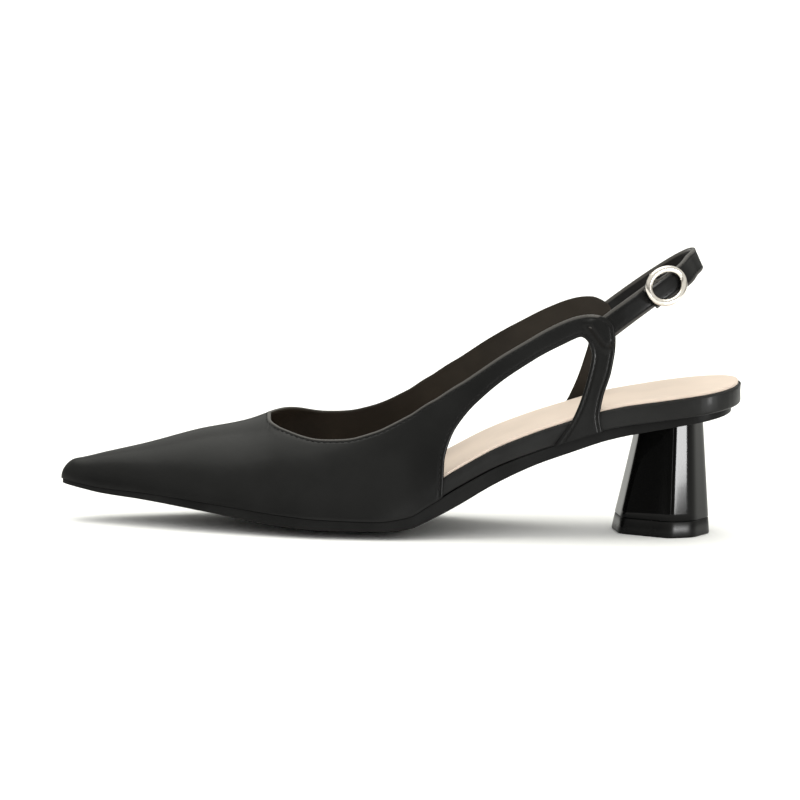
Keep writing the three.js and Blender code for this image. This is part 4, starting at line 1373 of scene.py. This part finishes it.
# %% Make the ring
RING_STEPS = 96
BAR_STEPS = 9
STAPLE_STEPS = 60
RING_SIDES = 20
BAR_SIDES = 14
BAR_REACH = 0.96
angles = np.linspace(0, 2 * math.pi, RING_STEPS, endpoint=False)
ring_turns = turn_for(RING_PLACE + ring_radius * np.cos(angles))
ring_up = ring_radius * np.sin(angles) / STRAP_WIDTH
ring_line = strap_point("outer", ring_turns, ring_up, ring_out)
facing = np.broadcast_to(away_from_foot, ring_line.shape)
hoop = tube(ring_line, facing, WIRE / 2, RING_SIDES, closed=True, flat=WIRE_FLAT)
bar_end = ring_radius / STRAP_WIDTH
halfway = (ring_out + bar_out) / 2
post = [strap_point("outer", bar_turn, bar_end, out) for out in (ring_out, halfway)]
post_low = [strap_point("outer", bar_turn, -bar_end, out) for out in (halfway, ring_out)]
bar_up = np.linspace(bar_end, -bar_end, BAR_STEPS) * BAR_REACH
bar_line = strap_point("outer", bar_turn, bar_up, bar_out)
staple = through_points([*post, *bar_line, *post_low], STAPLE_STEPS)
bar = tube(staple, np.broadcast_to(ALONG, staple.shape), BAR_WIRE / 2, BAR_SIDES)
make_piece("ring_metal", join(hoop, bar), [buckle_metal], "buckle_metal", "buckle_ring")

# %% [markdown]
# ## Floor and light
# The photograph is a studio shot: white all round, with a broad light from above. The world here is
# bright overhead and dim at the horizon, which keeps upright gloss deep and dark. Two soft suns light
# the shoe, one from above and one from the front. Two low upright lights beside them light nothing:
# they are there for their reflections, the bright lines on the heel. The floor fills the frame.

# %% Floor
FLOOR_REACH = 12.0
floor_mesh = bpy.data.meshes.new("floor")
corners = [(x * FLOOR_REACH, y * FLOOR_REACH, 0) for x, y in ((-1, -1), (1, -1), (1, 1), (-1, 1))]
floor_mesh.from_pydata(corners, [], [(0, 1, 2, 3)])
floor_graph = Graph("floor_paint", roughness=0.9, specular_ior_level=0.1)
shade = floor_graph.noise(floor_graph.place(), 0.6, 1)
floor_mesh.materials.append(floor_graph.feed(base_color=floor_graph.mix(shade, grey(0.93), grey(0.95))))
floor = bpy.data.objects.new("floor", floor_mesh)
bpy.context.collection.objects.link(floor)

# %% Lights
SKY_FADE = {"From Min": -0.02, "From Max": 0.55, "To Min": 0.12, "To Max": 1.0}
LIGHT_COLOUR = (1.0, 1.0, 0.94)
world = bpy.data.worlds.new("studio")
world.use_nodes = True
studio = world.node_tree
background = studio.nodes["Background"]
direction = studio.nodes.new("ShaderNodeTexCoord")
upward = studio.nodes.new("ShaderNodeSeparateXYZ")
sky = studio.nodes.new("ShaderNodeMapRange")
sky.interpolation_type = "SMOOTHSTEP"
for socket, value in SKY_FADE.items():
    sky.inputs[socket].default_value = value
studio.links.new(direction.outputs["Generated"], upward.inputs["Vector"])
studio.links.new(upward.outputs["Z"], sky.inputs["Value"])
studio.links.new(sky.outputs["Result"], background.inputs["Strength"])
background.inputs["Color"].default_value = (*LIGHT_COLOUR, 1.0)
bpy.context.scene.world = world
bpy.context.scene.view_settings.view_transform = "Standard"


def add_light(name, kind, place, aim, **settings):
    """A light at a place in metres, turned to what it lights."""
    data = bpy.data.lights.new(name, kind)
    for key, value in settings.items():
        setattr(data, key, value)
    light = bpy.data.objects.new(name, data)
    bpy.context.collection.objects.link(light)
    light.location = place
    light.rotation_euler = (Vector(aim) - Vector(place)).to_track_quat("-Z", "Y").to_euler()
    return light


STRIP_DISTANCE = 1.1
STRIP_HEIGHT = 0.19
STRIP_MIDDLE = 0.10
SOFT_SUN = math.radians(60)
SHOE_MIDDLE = (-0.1, 0.0, 0.0)


def strip(name, turn, width, power):
    """A low upright light that faces the heel, turned round it from +X by an angle in degrees. It is
    left out of diffuse light, and shows only as a bright line in polished faces."""
    around = math.radians(turn)
    place = (STRIP_DISTANCE * math.cos(around), STRIP_DISTANCE * math.sin(around), STRIP_MIDDLE)
    size = {"shape": "RECTANGLE", "size": width, "size_y": STRIP_HEIGHT}
    light = add_light(name, "AREA", place, (0.0, 0.0, STRIP_MIDDLE), energy=power, **size)
    light.visible_diffuse = False


add_light("ceiling", "SUN", (-0.2, 0.3, 2.0), SHOE_MIDDLE, energy=1.9, color=LIGHT_COLOUR, angle=SOFT_SUN)
fill = add_light("fill", "SUN", (-0.3, -1.5, 0.9), SHOE_MIDDLE, energy=0.9, angle=SOFT_SUN)
fill.visible_glossy = False
strip("right_strip", -46, 0.25, 10.0)
strip("middle_strip", -82, 0.035, 0.22)
